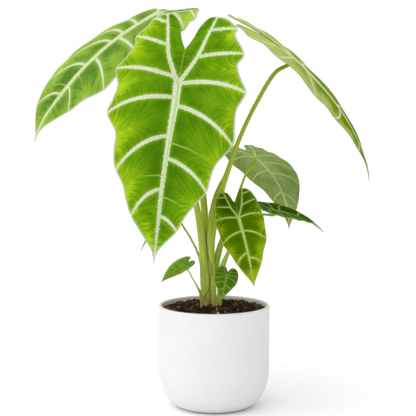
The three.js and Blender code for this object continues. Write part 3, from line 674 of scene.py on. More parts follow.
def make_dry_edge():
    material, tree, shader = new_material("dry_sheath_edge", 0.85, 0.15)
    spots = add_noise(tree, object_place(tree), 160, 4, 0.6)
    brown = blend(tree, ramp(tree, spots, 0.35, 0.65), srgb(118, 92, 38), srgb(150, 130, 62))
    tree.links.new(brown, shader.inputs["Base Color"])
    add_bump(tree, shader, spots, 0.4, 0.0003)
    return material


def lay_strip(name, line, tree, half_width, raggedness):
    """A strip by a node tree along a line of places in millimetres."""
    route = bpy.data.meshes.new("route")
    stretches = [(start, start + 1) for start in range(len(line) - 1)]
    route.from_pydata([tuple(np.array(place) * MM) for place in line], stretches, [])
    carrier = bpy.data.objects.new("route", route)
    strip = grown(name, carrier, tree, {"Half Width": half_width, "Raggedness": raggedness})
    bpy.data.objects.remove(carrier)
    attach(strip, "root")


edge_tree = make_edge_tree(make_dry_edge())
for label, corners in SHEATH_EDGES.items():
    count = int(sum(math.dist(a, b) for a, b in zip(corners, corners[1:])) / EDGE_SPACING)
    line = [(x, front_of_stalks(x, z), z) for x, z in curve_at(corners, np.linspace(0, 1, count))]
    line = [place for place in line if place[1] is not None]
    lay_strip("sheath_edge_" + label, line, edge_tree, EDGE_HALF_WIDTH, EDGE_RAGGEDNESS)
wall = [(x, SHEATH_WALL_DEPTH, z) for x, z in curve_at(SHEATH_WALL, np.linspace(0, 1, WALL_STEPS))]
lay_strip("sheath_wall", wall, make_edge_tree(stalk_skin), WALL_HALF_WIDTH, 0.0)

# Leaf blades
# Thin velvety blades, heart- to arrow-shaped, arched along the midrib and quilted between the side veins.
# Broad whitish veins with feathered edges run to a pale, waved margin. The underside is paler and ribbed.
EDGE_PLACES = (-0.40, -0.375, -0.31, -0.19, -0.02, 0.20, 0.40, 0.60, 0.78, 0.90, 0.95, 1)
INNER_EDGE = [(-0.40, 0.15), (-0.385, 0.10), (-0.33, 0.06), (-0.26, 0.034), (-0.20, 0)]
LOBE_RIB = [(0, 0), (-0.05, 0.028), (-0.16, 0.085), (-0.29, 0.12), (-0.40, 0.15)]
LOBE_RIB_LENGTH = 0.43
SINUS_ON_RIB = 0.45
HALF_WIDTH = 0.36
VEIN_BEND = (0.15, 0.62)
LOBE_VEIN_ARCH = 0.14


def edge_of(*widths):
    """The outer edge of a half, from the lobe end to the tip, by its width at the usual places."""
    return list(zip(EDGE_PLACES, widths))


# Side veins of each half, from lobe end to tip: (place on the ribs, place on the outer edge). The lobe
# ends at -1. Thin veins stop short of the margin: (place on the ribs, place on the outer edge, share of
# the way out). arch bends all side veins of a half. The halves are -1 and 1, left and right of the midrib
# for one who looks at the upper side from the tip.
OUTER_EDGE = edge_of(0.15, 0.225, 0.285, 0.33, 0.362, 0.362, 0.31, 0.215, 0.115, 0.040, 0.012, 0)
LOBE_VEINS = [(-1, 0), (-0.8, 1.6), (-0.5, 2.8)]
LEFT_VEINS = [*LOBE_VEINS, (-0.05, 4.1), (0.09, 5.25), (0.29, 6.3), (0.56, 7.65), (0.86, 9.1), (1, 11)]
RIGHT_VEINS = [*LOBE_VEINS, (-0.05, 4.1), (0.09, 5.4), (0.42, 6.95), (0.72, 8.4), (1, 11)]


def half_of(veins, edge=OUTER_EDGE, thin=(), arch=0):
    return {"veins": veins, "edge": edge, "thin": list(thin), "arch": arch}


PLAIN_HALVES = {-1: half_of(LEFT_VEINS), 1: half_of(RIGHT_VEINS)}
OWN_HALVES = {
    "front": {
        -1: half_of([(-1, 0), (-0.86, 1), (-0.6, 3), (-0.2, 6), (0.075, 9), (0.285, 12.2), (0.575, 15),
                     (1, 19)],
                    [(-0.40, 0.15), (-0.37, 0.23), (-0.32, 0.245), (-0.25, 0.306), (-0.19, 0.295),
                     (-0.11, 0.33), (-0.045, 0.374), (0.05, 0.336), (0.13, 0.348), (0.21, 0.368),
                     (0.31, 0.296), (0.40, 0.288), (0.49, 0.272), (0.58, 0.212), (0.67, 0.178),
                     (0.74, 0.147), (0.85, 0.065), (0.91, 0.022), (0.95, 0.010), (1, 0)],
                    thin=[(0.503, 12.9, 0.62)]),
        1: half_of([(-1, 0), (-0.8, 2), (-0.5, 4), (-0.02, 7), (0.115, 10), (0.405, 13), (0.72, 16),
                    (1, 19)],
                   [(-0.40, 0.15), (-0.385, 0.215), (-0.34, 0.277), (-0.30, 0.276), (-0.205, 0.343),
                    (-0.136, 0.323), (-0.062, 0.356), (0.006, 0.394), (0.10, 0.361), (0.20, 0.365),
                    (0.295, 0.366), (0.40, 0.295), (0.49, 0.271), (0.56, 0.258), (0.63, 0.21),
                    (0.705, 0.159), (0.795, 0.117), (0.885, 0.043), (0.93, 0.014), (1, 0)],
                   thin=[(0.322, 11.2, 0.97), (0.615, 14.7, 0.95)]),
    },
    "upper_left": {
        -1: half_of([*LOBE_VEINS, (-0.05, 4.1), (0.11, 5.2), (0.19, 5.95), (0.26, 6.75), (0.435, 7.35),
                     (0.65, 8.15), (1, 11)],
                    edge_of(0.15, 0.19, 0.23, 0.285, 0.335, 0.348, 0.308, 0.238, 0.142, 0.046, 0.013, 0),
                    thin=[(0.59, 7.8, 0.8)]),
        1: half_of([*LOBE_VEINS, (-0.05, 4.0), (0.225, 4.75), (0.375, 5.95), (0.58, 7.35), (1, 11)],
                   edge_of(0.15, 0.22, 0.29, 0.345, 0.366, 0.356, 0.307, 0.209, 0.114, 0.037, 0.012, 0),
                   thin=[(0.5, 6.6, 0.8)], arch=0.17),
    },
    "right": {
        -1: half_of([(-1, 0), (-0.45, 1.75), (-0.02, 3.15), (0.12, 4.7), (0.43, 5.6), (0.69, 7.3),
                     (1, 11)],
                    edge_of(0.15, 0.212, 0.264, 0.296, 0.336, 0.355, 0.306, 0.223, 0.116, 0.04, 0.012, 0)),
        1: half_of(RIGHT_VEINS,
                   edge_of(0.15, 0.232, 0.301, 0.307, 0.361, 0.364, 0.309, 0.214, 0.106, 0.039, 0.012, 0)),
    },
    "mid_right": {
        -1: half_of([*LOBE_VEINS, (-0.05, 4.1), (0.12, 5.3), (0.31, 6.45), (0.6, 7.8), (0.86, 9.1),
                     (1, 11)]),
        1: half_of([*LOBE_VEINS, (-0.02, 4.35), (0.26, 6), (0.58, 7.5), (1, 11)]),
    },
    "low_front": {
        -1: half_of([*LOBE_VEINS, (-0.03, 4), (0.19, 5.6), (0.5, 7.2), (1, 11)]),
        1: half_of([*LOBE_VEINS, (-0.01, 4.2), (0.19, 5.9), (0.57, 7.4), (1, 11)]),
    },
}
BLADE_THICKNESS = 0.7
BEND_REACH = 1.1
BEND_STEPS = 400
MIDRIB_STEPS = 60
LOBE_RIB_STEPS = 40
SIDE_VEIN_STEPS = 28
MOST_RIDGE = 1.5
MOST_RIB = 1.2
RIB_DEPTH_SHARE = 0.004
MIDRIB_SHADE_SHIFT = 0.24
NOTCH_LINE_HALF_WIDTH = 0.7
FINE_VEIN_PARTING = (0.65, 0.4)
FINE_VEIN_BEND = 1.4
TIP_VEIN_ARCH = 0.3
CELL_STEP = 3.7
SIDE_STEP = 211
VEIN_STEP = 37
NO_MARGIN = 99.0
ROWS_SHARE = 1.1
LEAST_STRIP_ROWS = 4
STRIP_CLEARNESS = 0.7
# Painted light shining through the strip between the lobes, as a share of the blade's.
STRIP_PAINTED_SUN = 0.4
STRIP_SLANT = 0.9
STRIP_SHADE = 0.07
MEASURES = ("vein", "run", "fresh", "rim", "fine", "flow", "clear", "painted_glow")


def rib_points(places):
    """Flat places on the lobe rib, below 0, or on the midrib, above 0."""
    places = np.asarray(places, float)
    lobe = curve_at(LOBE_RIB, -places)
    middle = np.stack([places, np.zeros_like(places)], -1)
    return np.where((places < 0)[..., None], lobe, middle)


def vein_lines(half, scallop, places, edge_places, between, shares):
    """Flat points between the ribs and the outer edge, one bent line for each place, in blade lengths."""
    rib = rib_points(places)
    edge = curve_at(half["edge"], np.asarray(edge_places, float) / (len(half["edge"]) - 1))
    edge = edge + (rib - edge) * (scallop * np.sin(math.pi * np.asarray(between)) ** 2)[:, None]
    on_lobe = LOBE_VEIN_ARCH * np.clip(1 - 8 * np.asarray(places, float), 0, 1)
    arch = np.maximum(on_lobe, half["arch"]) * np.abs(edge[:, 1] - rib[:, 1])
    bend = rib + (edge - rib) * VEIN_BEND - np.stack([arch, np.zeros_like(arch)], -1)
    s = np.asarray(shares, float)[None, :, None]
    return (1 - s) ** 2 * rib[:, None] + 2 * (1 - s) * s * bend[:, None] + s ** 2 * edge[:, None]


def to_millimetres(leaf, flat, side):
    """Flat points of a half, from blade lengths to millimetres on that half's side."""
    scaled = np.array(flat, float)
    scaled[..., 0] *= leaf["length"] * np.where(scaled[..., 0] < 0, leaf["rear"], 1)
    scaled[..., 1] *= leaf["length"] * leaf["wide"] * side
    return scaled


def along_midrib(leaf, shares):
    """Run, rise and turn of the bent midrib, or of the curled lobes behind the stalk."""
    grid = np.linspace(0, BEND_REACH, BEND_STEPS)
    ahead = -np.radians(leaf["droop"] * grid + leaf["sag"] * grid ** 2)
    behind = np.radians(leaf["curl"] * grid)
    size = np.abs(shares)
    results = []
    for turn, direction in ((ahead, 1), (behind, -1)):
        step = grid[1] - grid[0]
        middle = (turn[1:] + turn[:-1]) / 2
        run = np.concatenate([[0], np.cumsum(np.cos(middle))]) * step * direction
        rise = np.concatenate([[0], np.cumsum(np.sin(middle))]) * step * direction
        results.append([np.interp(size, grid, values) for values in (run, rise, turn)])
    run, rise, turn = (np.where(shares >= 0, a, b) for a, b in zip(*results))
    return run * leaf["length"], rise * leaf["length"], turn


def bend_points(leaf, flat, lift):
    """Places in the plant of flat points of the blade, raised by a lift from its surface."""
    along, across, face = blade_axes(leaf)
    share = flat[:, 0] / leaf["length"]
    run, rise, turn = along_midrib(leaf, share)
    fold = math.radians(leaf["fold"]) * np.clip(1 + share, 0, 1)
    fall = math.radians(leaf["edge"]) / (HALF_WIDTH * leaf["length"])
    slope = fold - fall * np.abs(flat[:, 1])
    reach = (np.sin(fold) - np.sin(slope)) / fall
    tucked = leaf["tuck"] * np.maximum(-flat[:, 1], 0) * np.maximum(-share, 0)
    height = (np.cos(slope) - np.cos(fold)) / fall - tucked
    swayed = leaf["sway"] * leaf["length"] * np.sin(math.pi * np.maximum(share, 0))
    sideways = reach * np.sign(flat[:, 1]) + swayed
    twist = np.radians(leaf["twist"]) * share
    bent_face = np.cos(turn)[:, None] * face - np.sin(turn)[:, None] * along
    across_now = np.cos(twist)[:, None] * across + np.sin(twist)[:, None] * bent_face
    face_now = np.cos(twist)[:, None] * bent_face - np.sin(twist)[:, None] * across
    return (np.array(leaf["junction"], float) + run[:, None] * along + rise[:, None] * face
            + sideways[:, None] * across_now + (height + lift)[:, None] * face_now)


def line_distance(points, line, values):
    """Distance of points from a line of points, the line's value there, and how far along it that is.
    The last is moved by a fixed step on one side of the line, so that its two sides differ."""
    best = np.full(len(points), 1e9)
    value, along = np.zeros(len(points)), np.zeros(len(points))
    passed = 0.0
    for a, b, from_value, to_value in zip(line, line[1:], values, values[1:]):
        step = b - a
        length = max(np.linalg.norm(step), 1e-4)
        away = points - a
        t = np.clip((away @ step) / length ** 2, 0, 1)
        distance = np.linalg.norm(away - t[:, None] * step, axis=1)
        on_left = step[0] * away[:, 1] - step[1] * away[:, 0] > 0
        nearer = distance < best
        best = np.where(nearer, distance, best)
        value = np.where(nearer, from_value + t * (to_value - from_value), value)
        along = np.where(nearer, passed + t * length + SIDE_STEP * on_left, along)
        passed += length
    return best, value, along


def smoothstep(low, high, value):
    t = np.clip((value - low) / (high - low), 0, 1)
    return t * t * (3 - 2 * t)


def vein_strokes(leaf, half, side):
    """The broad veins of a half, each a line and its half widths, and the fresh lines: the middles of the
    broad veins, and the thin veins."""
    strokes, centres = [], []
    width = 0.5 * leaf["vein"]
    ahead = np.linspace(0, 1, MIDRIB_STEPS)
    midrib = to_millimetres(leaf, rib_points(ahead), side)
    midrib[:, 1] += leaf["bow"] * np.interp(ahead, [0, 0.1, 0.75, 1], [0, 1, 0.8, 0])
    midrib_width = leaf["midrib"] * width * np.interp(ahead, [0, 0.12, 0.33, 0.6, 0.9, 1],
                                                      [1.85, 1.65, 1.15, 0.85, 0.5, 0.3])
    strokes.append((midrib, midrib_width))
    # The fresh line of the midrib is its own yellow-green core, moved towards one flank, where it also
    # stands for painted shade on the raised midrib.
    centres.append((midrib + np.stack([0 * ahead, MIDRIB_SHADE_SHIFT * midrib_width], -1),
                    midrib_width * np.interp(ahead, [0, 0.2, 0.75, 0.95], [0.34, 0.3, 0.28, -0.3])))
    back = np.linspace(0, -1, LOBE_RIB_STEPS)
    lobe_rib = to_millimetres(leaf, rib_points(back), side)
    lobe_width = width * np.interp(-back, [0, 0.15, 0.6, 1], [1.3, 1.0, 0.75, 0.4])
    strokes.append((lobe_rib, lobe_width))
    centres.append((lobe_rib, lobe_width * np.interp(-back, [0, 0.5, 0.8], [0.3, 0.22, -0.3])))
    out = np.linspace(0, 1, SIDE_VEIN_STEPS)
    for place, edge in half["veins"][1:-1]:
        line = to_millimetres(leaf, vein_lines(half, 0, [place], [edge], [0.0], out)[0], side)
        strength = 1.0 - 0.35 * max(place, 0) - 0.35 * max(-place, 0)
        vein_width = width * strength * np.interp(out, [0, 0.3, 0.7, 1], [0.75, 0.95, 0.75, 0.3])
        strokes.append((line, vein_width))
        centres.append((line, vein_width * np.interp(out, [0, 0.3, 0.5], [0.3, 0.2, -0.3])))
    for place, edge, reach in half["thin"]:
        line = to_millimetres(leaf, vein_lines(half, 0, [place], [edge], [0.0], reach * out)[0], side)
        centres.append((line, width * np.interp(out, [0, 0.5, 0.85, 1], [0.38, 0.25, 0.12, -0.2])))
    return strokes, centres


def measure_veins(leaf, flat, strokes, centres):
    """For each flat point: how far inside a vein it is, its place along that vein, how far inside a fresh
    line it is, and how far the rib stands out there."""
    inside, fresh = np.full((2, len(flat)), -1e3)
    along, relief = np.zeros((2, len(flat)))
    for number, (line, widths) in enumerate(strokes):
        distance, half_width, place = line_distance(flat, line, widths)
        nearest = half_width - distance > inside
        inside = np.where(nearest, half_width - distance, inside)
        along = np.where(nearest, place + VEIN_STEP * number, along)
        bulge = np.exp(-(distance / np.maximum(half_width, 0.2)) ** 2) * half_width / (0.5 * leaf["vein"])
        relief = np.maximum(relief, bulge)
    for line, widths in centres:
        distance, half_width, _ = line_distance(flat, line, widths)
        fresh = np.maximum(fresh, half_width - distance)
    notch_end = INNER_EDGE[-1][0] * leaf["length"] * leaf["rear"]
    from_notch = line_distance(flat, np.array([(0.0, 0.0), (notch_end, 0.0)]), np.zeros(2))[0]
    in_notch_line = np.minimum(NOTCH_LINE_HALF_WIDTH * leaf["vein"] / 5 - from_notch, 0)
    return inside, along, np.maximum(fresh, in_notch_line), relief


def cells_of(half, places):
    """For each place on the ribs: the number of its cell between two side veins, its share of the way
    through that cell, and its place on the outer edge."""
    veins, edges = (np.array(column, float) for column in zip(*half["veins"]))
    cell = np.clip(np.searchsorted(veins, places) - 1, 0, len(veins) - 2)
    between = (places - veins[cell]) / (veins[cell + 1] - veins[cell])
    return cell, between, edges[cell] + between * (edges[cell + 1] - edges[cell])


def fine_veins(leaf, half, side, grid, places, shares, cell, between):
    """For each point of a half: its place across the fine veins, how clear they are, and the way out from
    the rib. Fine veins leave the broad ones and turn outwards to a line across the cell, which runs from
    near the foot of its last vein to near the end of its first. At the tip they leave the midrib."""
    vein_places, vein_edges = (np.array(column, float) for column in zip(*half["veins"]))
    flow = np.cumsum(np.linalg.norm(np.diff(grid, axis=1, prepend=grid[:, :1]), axis=2), axis=1)
    flat = vein_lines(half, 0, vein_places, vein_edges, 0 * vein_places, shares)
    at_veins = to_millimetres(leaf, flat, side)
    cell_width = np.linalg.norm(np.diff(at_veins, axis=0), axis=2)[cell]
    parting = np.interp(shares, [0, 1], FINE_VEIN_PARTING)
    in_first = between[:, None] < parting
    part = np.where(in_first, parting, 1 - parting)
    from_vein = np.where(in_first, between[:, None], 1 - between[:, None]) / part
    bent_out = FINE_VEIN_BEND * part * cell_width * (1 - from_vein ** 2)
    past_veins = (places > vein_places[-2])[:, None]
    arched = grid[..., 0] - grid[..., 1] ** 2 / (TIP_VEIN_ARCH * leaf["length"])
    fine = np.where(past_veins, arched, flow + bent_out + CELL_STEP * cell[:, None])
    clear = np.where(past_veins, 1, 0.25 + 0.75 * smoothstep(0.15, 0.85, shares))
    return fine, clear, flow


def notch_strip(leaf, side, lobe, rows):
    """The lattice between a lobe's rib and the notch between the lobes."""
    on_lobe = -lobe
    straight = np.stack([INNER_EDGE[-1][0] * on_lobe / SINUS_ON_RIB, np.zeros_like(on_lobe)], -1)
    curved = curve_at(INNER_EDGE, (1 - on_lobe) / (1 - SINUS_ON_RIB))
    notch = np.where((on_lobe > SINUS_ON_RIB)[:, None], curved, straight)
    inward = np.linspace(0, 1, rows + 1)[None, :, None]
    return to_millimetres(leaf, rib_points(lobe)[:, None] * (1 - inward) + notch[:, None] * inward, side)


def make_sheet(leaf):
    """The flat lattice of a blade: points, lifts, measures for the material, and triangles."""
    length, spacing = leaf["length"], leaf["spacing"]
    halves = OWN_HALVES.get(leaf["name"], PLAIN_HALVES)
    ends = sorted({0} | {vein[0] for half in halves.values() for vein in half["veins"] + half["thin"]})
    places = []
    for start, end in zip(ends, ends[1:]):
        stretch = (end - start) * length * (LOBE_RIB_LENGTH if start < 0 else 1)
        places.append(np.linspace(start, end, math.ceil(stretch / spacing), endpoint=False))
    places = np.concatenate([*places, [1.0]])
    rows = round(ROWS_SHARE * HALF_WIDTH * length / spacing)
    shares = np.linspace(0, 1, rows + 1)
    points, lifts, measures, triangles = [], [], [], []
    known = {}

    def add_lattice(grid, lift, lines, rim, others, flip):
        """Adds a lattice with its measures. Points that two lattices share are added once."""
        size = grid.shape[:2]
        inside, run, fresh, relief = (
            column.reshape(size) for column in measure_veins(leaf, grid.reshape(-1, 2), *lines))
        columns = (inside, run, fresh, rim, *others, relief)
        columns = np.stack([np.broadcast_to(column, size) for column in columns], -1)
        numbers = np.empty(size, int)
        for spot in np.ndindex(numbers.shape):
            key = (round(grid[spot][0], 2), round(grid[spot][1], 2))
            if key not in known:
                known[key] = len(points)
                points.append(grid[spot])
                lifts.append(lift[spot])
                measures.append(columns[spot])
            numbers[spot] = known[key]
        a, b = numbers[:-1, :-1].ravel(), numbers[1:, :-1].ravel()
        c, d = numbers[1:, 1:].ravel(), numbers[:-1, 1:].ravel()
        both = np.concatenate([np.stack([a, b, c], -1), np.stack([a, c, d], -1)])
        whole = (both[:, 0] != both[:, 1]) & (both[:, 1] != both[:, 2]) & (both[:, 2] != both[:, 0])
        triangles.append(both[whole][:, ::-1] if flip else both[whole])

    for side, half in halves.items():
        lines = vein_strokes(leaf, half, side)
        cell, between, edges = cells_of(half, places)
        flat = vein_lines(half, leaf["scallop"], places, edges, between, shares)
        grid = to_millimetres(leaf, flat, side)
        quilt = 0.5 * leaf["wave"] * np.sin(math.pi * between[:, None]) ** 2 * np.sin(math.pi * shares)
        ripple = (0.5 * leaf["wave"] * shares ** 2 * np.cos(2 * math.pi * between[:, None])
                  * (1 - np.maximum(places[:, None], 0)))
        fine, clear, flow = fine_veins(leaf, half, side, grid, places, shares, cell, between)
        # Painted light shining through the blade: each half brightens towards the margin and the middle of
        # each cell, as much as the leaf's sun sets for that half, and along the blade as its to_tip sets.
        middle = 1 - np.abs(1 - 2 * between)[:, None]
        reach = smoothstep(0.2, 1.05, shares)[None, :] ** 1.3
        near_rib = 0.25 * middle * smoothstep(0, 0.5, shares)
        painted_glow = leaf["sun"][side] * (reach * (0.4 + 0.6 * middle ** 0.8) + near_rib)
        painted_glow = painted_glow + leaf["to_tip"] * places[:, None]
        rim = line_distance(grid.reshape(-1, 2), grid[:, -1], np.zeros(len(grid)))[0]
        add_lattice(grid, quilt - ripple, lines, rim.reshape(grid.shape[:2]), (fine, flow, clear, painted_glow),
                    side < 0)

        lobe = places[places <= 0]
        strip = notch_strip(leaf, side, lobe, max(LEAST_STRIP_ROWS, rows // 4))
        across = np.linalg.norm(strip - strip[:, :1], axis=2)
        down_lobe = -lobe[:, None] * LOBE_RIB_LENGTH * length
        # The same painted light on the strip between the lobes, none at the rib.
        painted_glow = STRIP_PAINTED_SUN * leaf["sun"][side] * smoothstep(0, STRIP_SHADE * length, across)
        painted_glow = painted_glow * smoothstep(0.3, 0.9, -lobe[:, None])
        add_lattice(strip, np.zeros(strip.shape[:2]), lines, NO_MARGIN,
                    (down_lobe + STRIP_SLANT * across, across, STRIP_CLEARNESS, painted_glow), side > 0)
    return np.array(points), np.array(lifts), np.array(measures), np.concatenate(triangles)


def make_blade(leaf):
    """One closed thin body with ribs that stand out below, and the measures that its material reads."""
    flat, lifts, measures, triangles = make_sheet(leaf)
    middle = bend_points(leaf, flat, lifts)
    corners = middle[triangles]
    face_normals = np.cross(corners[:, 1] - corners[:, 0], corners[:, 2] - corners[:, 0])
    normals = np.zeros_like(middle)
    for corner in range(3):
        np.add.at(normals, triangles[:, corner], face_normals)
    normals /= np.linalg.norm(normals, axis=1)[:, None]
    relief = measures[:, -1]
    half = BLADE_THICKNESS / 2
    rib_depth = RIB_DEPTH_SHARE * leaf["length"]
    upper = middle + normals * (half + leaf["ridge"] * np.minimum(relief, MOST_RIDGE) ** 2)[:, None]
    lower = middle - normals * (half + rib_depth * np.minimum(relief, MOST_RIB))[:, None]
    count = len(middle)
    edges = {}
    for a, b, c in triangles.tolist():
        for start, end in ((a, b), (b, c), (c, a)):
            if edges.pop((end, start), None) is None:
                edges[(start, end)] = True
    walls = [(start, start + count, end + count, end) for start, end in edges]
    faces = triangles.tolist() + (triangles[:, ::-1] + count).tolist() + walls
    piece = new_piece("blade_" + leaf["name"], np.vstack([upper, lower]) * MM, faces)
    for column, name in enumerate(MEASURES):
        set_floats(piece, name, np.tile(measures[:, column], 2))
    set_floats(piece, "under", np.repeat([0.0, 1.0], count))
    return piece


PATTERN_COLOURS = ("Deep", "Green", "Painted Sunlit Green", "Vein", "Fresh Line", "Margin", "Under", "Under Light",
                   "Under Vein")
PATTERN_VALUES = ("Whisker", "Fine Spacing", "Contrast", "Margin Width")


def make_leaf_pattern():
    """The markings of all leaves, with painted light: green between the veins, made brighter and yellower
    where light is painted shining through, pale veins and margin, a paler underside.
    """
    inputs = {**dict.fromkeys(PATTERN_COLOURS, "Color"), **dict.fromkeys(PATTERN_VALUES, "Float")}
    tree, given = new_tree("leaf_pattern", "ShaderNodeTree", inputs, {"Color": "Color", "Height": "Float"})
    read = {name: read_attribute(tree, name) for name in (*MEASURES, "under")}
    cloud = add_noise(tree, object_place(tree), 42, 3)
    grain = add_noise(tree, object_place(tree), 700, 3)

    # Streaks that follow the fine veins, broad and narrow
    drifted = plus(tree, read["fine"], swing(tree, cloud, 1.6))

    def follow(spacing_share, length_share, detail):
        spacing = times(tree, given["Fine Spacing"], spacing_share)
        lengthwise = add_math(tree, "DIVIDE", read["flow"], times(tree, spacing, length_share))
        place = combine(tree, add_math(tree, "DIVIDE", drifted, spacing), lengthwise)
        return add_noise(tree, place, 1.0, detail)

    streak = follow(1.2, 5.0, 1)
    fine_streak = follow(0.5, 8.0, 2)
    streaks = plus(tree, swing(tree, streak, 1.4), swing(tree, fine_streak, 0.3))
    streaks = times(tree, streaks, read["clear"])

    # Green from deep by the veins to yellow-green towards the margin: partly the blade's own colour,
    # partly painted light shining through it, stronger on one half
    tone = plus(tree, read["painted_glow"], swing(tree, cloud, 1.0))
    tone = plus(tree, tone, times(tree, streaks, given["Contrast"]))
    by_vein = add_math(tree, "DIVIDE", read["vein"], given["Fine Spacing"])
    tone = plus(tree, tone, ramp(tree, by_vein, -1.7, 0.0, 0.0, 0.4))
    green = blend(tree, ramp(tree, tone, -0.25, 0.45), given["Deep"], given["Green"])
    green = blend(tree, ramp(tree, tone, 0.35, 1.2), green, given["Painted Sunlit Green"])

    # Pale veins with feathered edges, a fresher line down the middle of the broad ones, and a pale margin
    beside = combine(tree, times(tree, read["run"], 0.5), times(tree, read["vein"], 0.12))
    hair = add_noise(tree, beside, 1.0, 1)
    whisker = times(tree, ramp(tree, hair, 0.45, 0.74), given["Whisker"])
    vein = ramp(tree, plus(tree, read["vein"], whisker), -0.9, 0.9)
    mottle = ramp(tree, hair, 0.3, 0.7, 0.94, 1.0)
    vein_colour = blend(tree, 1.0, given["Vein"], mottle, "MULTIPLY")
    from_rim = plus(tree, read["rim"], swing(tree, grain, 0.8))
    at_margin = ramp(tree, add_math(tree, "SUBTRACT", given["Margin Width"], from_rim), -0.5, 0.4)
    upper = blend(tree, at_margin, green, given["Margin"])
    upper = blend(tree, vein, upper, vein_colour)
    upper = blend(tree, ramp(tree, read["fresh"], -0.5, 0.5, 0.0, 0.8), upper, given["Fresh Line"])

    # Underside: matt grey-green with raised yellow-green ribs and faint fine veins, painted a little
    # darker where the upper side has the most painted light, as shade on the side turned away
    under_tone = plus(tree, swing(tree, streak, 0.9), swing(tree, cloud, 1.8))
    under_tone = add_math(tree, "SUBTRACT", under_tone, times(tree, read["painted_glow"], 0.6))
    under = blend(tree, ramp(tree, under_tone, -0.8, 0.4), given["Under"], given["Under Light"])
    rib = ramp(tree, plus(tree, read["vein"], swing(tree, grain, 0.4)), -0.6, 0.3)
    under = blend(tree, rib, under, given["Under Vein"])
    colour = blend(tree, ramp(tree, read["under"], 0.4, 0.6), upper, under)
    height = plus(tree, times(tree, fine_streak, 0.7), times(tree, grain, 0.2))
    add_node(tree, "NodeGroupOutput", {0: colour, 1: height})
    return tree


leaf_pattern = make_leaf_pattern()


def make_leaf_skin(name, look):
    """A velvety leaf surface with its own greens, which for some blades also hold a painted sheen."""
    material, tree, shader = new_material(name, look["roughness"], look["specular"])
    pattern = add_node(tree, "ShaderNodeGroup", node_tree=leaf_pattern)
    for label, colour in look["colours"].items():
        pattern.inputs[label].default_value = srgb(*colour)
    for label, value in zip(PATTERN_VALUES, look["marks"]):
        pattern.inputs[label].default_value = value
    tree.links.new(pattern.outputs["Color"], shader.inputs["Base Color"])
    add_bump(tree, shader, pattern.outputs["Height"], 0.35, 0.0006)
    return material


# Colours as a screen would show them. A front light shows each a little paler.
BRIGHT = {"Deep": (66, 110, 8), "Green": (98, 144, 12), "Painted Sunlit Green": (160, 192, 28), "Vein": (206, 214, 186),
          "Fresh Line": (162, 186, 88), "Margin": (172, 186, 146), "Under": (126, 150, 74),
          "Under Light": (166, 188, 118), "Under Vein": (200, 216, 140)}
# Paler, greyer greens than BRIGHT: a painted sheen of light glancing off the velvet.
COOL_PAINTED_SHEEN = {**BRIGHT, "Deep": (76, 118, 20), "Green": (126, 164, 46), "Painted Sunlit Green": (170, 198, 40),
        "Vein": (202, 211, 180), "Fresh Line": (182, 202, 108)}
# Paler still, with greyer greens: a stronger painted sheen, for a blade seen nearly edge-on.
PALE_PAINTED_SHEEN = {**BRIGHT, "Deep": (108, 138, 4), "Green": (164, 184, 98), "Painted Sunlit Green": (176, 196, 96),
        "Vein": (214, 222, 184), "Fresh Line": (200, 216, 128), "Margin": (160, 176, 116),
        "Under": (112, 134, 20), "Under Light": (146, 168, 60)}
YOUNG = {**BRIGHT, "Deep": (52, 87, 0), "Green": (76, 111, 0), "Painted Sunlit Green": (134, 160, 14),
         "Vein": (178, 196, 108), "Fresh Line": (182, 200, 108), "Margin": (148, 170, 72)}
SMALL = {**BRIGHT, "Deep": (54, 92, 6), "Green": (80, 118, 20), "Painted Sunlit Green": (122, 160, 40),
         "Vein": (134, 162, 74), "Fresh Line": (146, 172, 86), "Margin": (104, 134, 48)}
TENDER = {**SMALL, "Deep": (74, 110, 18), "Green": (104, 142, 36), "Painted Sunlit Green": (140, 176, 58)}
DARK = {**YOUNG, "Deep": (44, 80, 6), "Green": (74, 112, 24), "Painted Sunlit Green": (116, 148, 62),
        "Vein": (164, 188, 116), "Fresh Line": (164, 188, 116), "Margin": (140, 166, 100)}

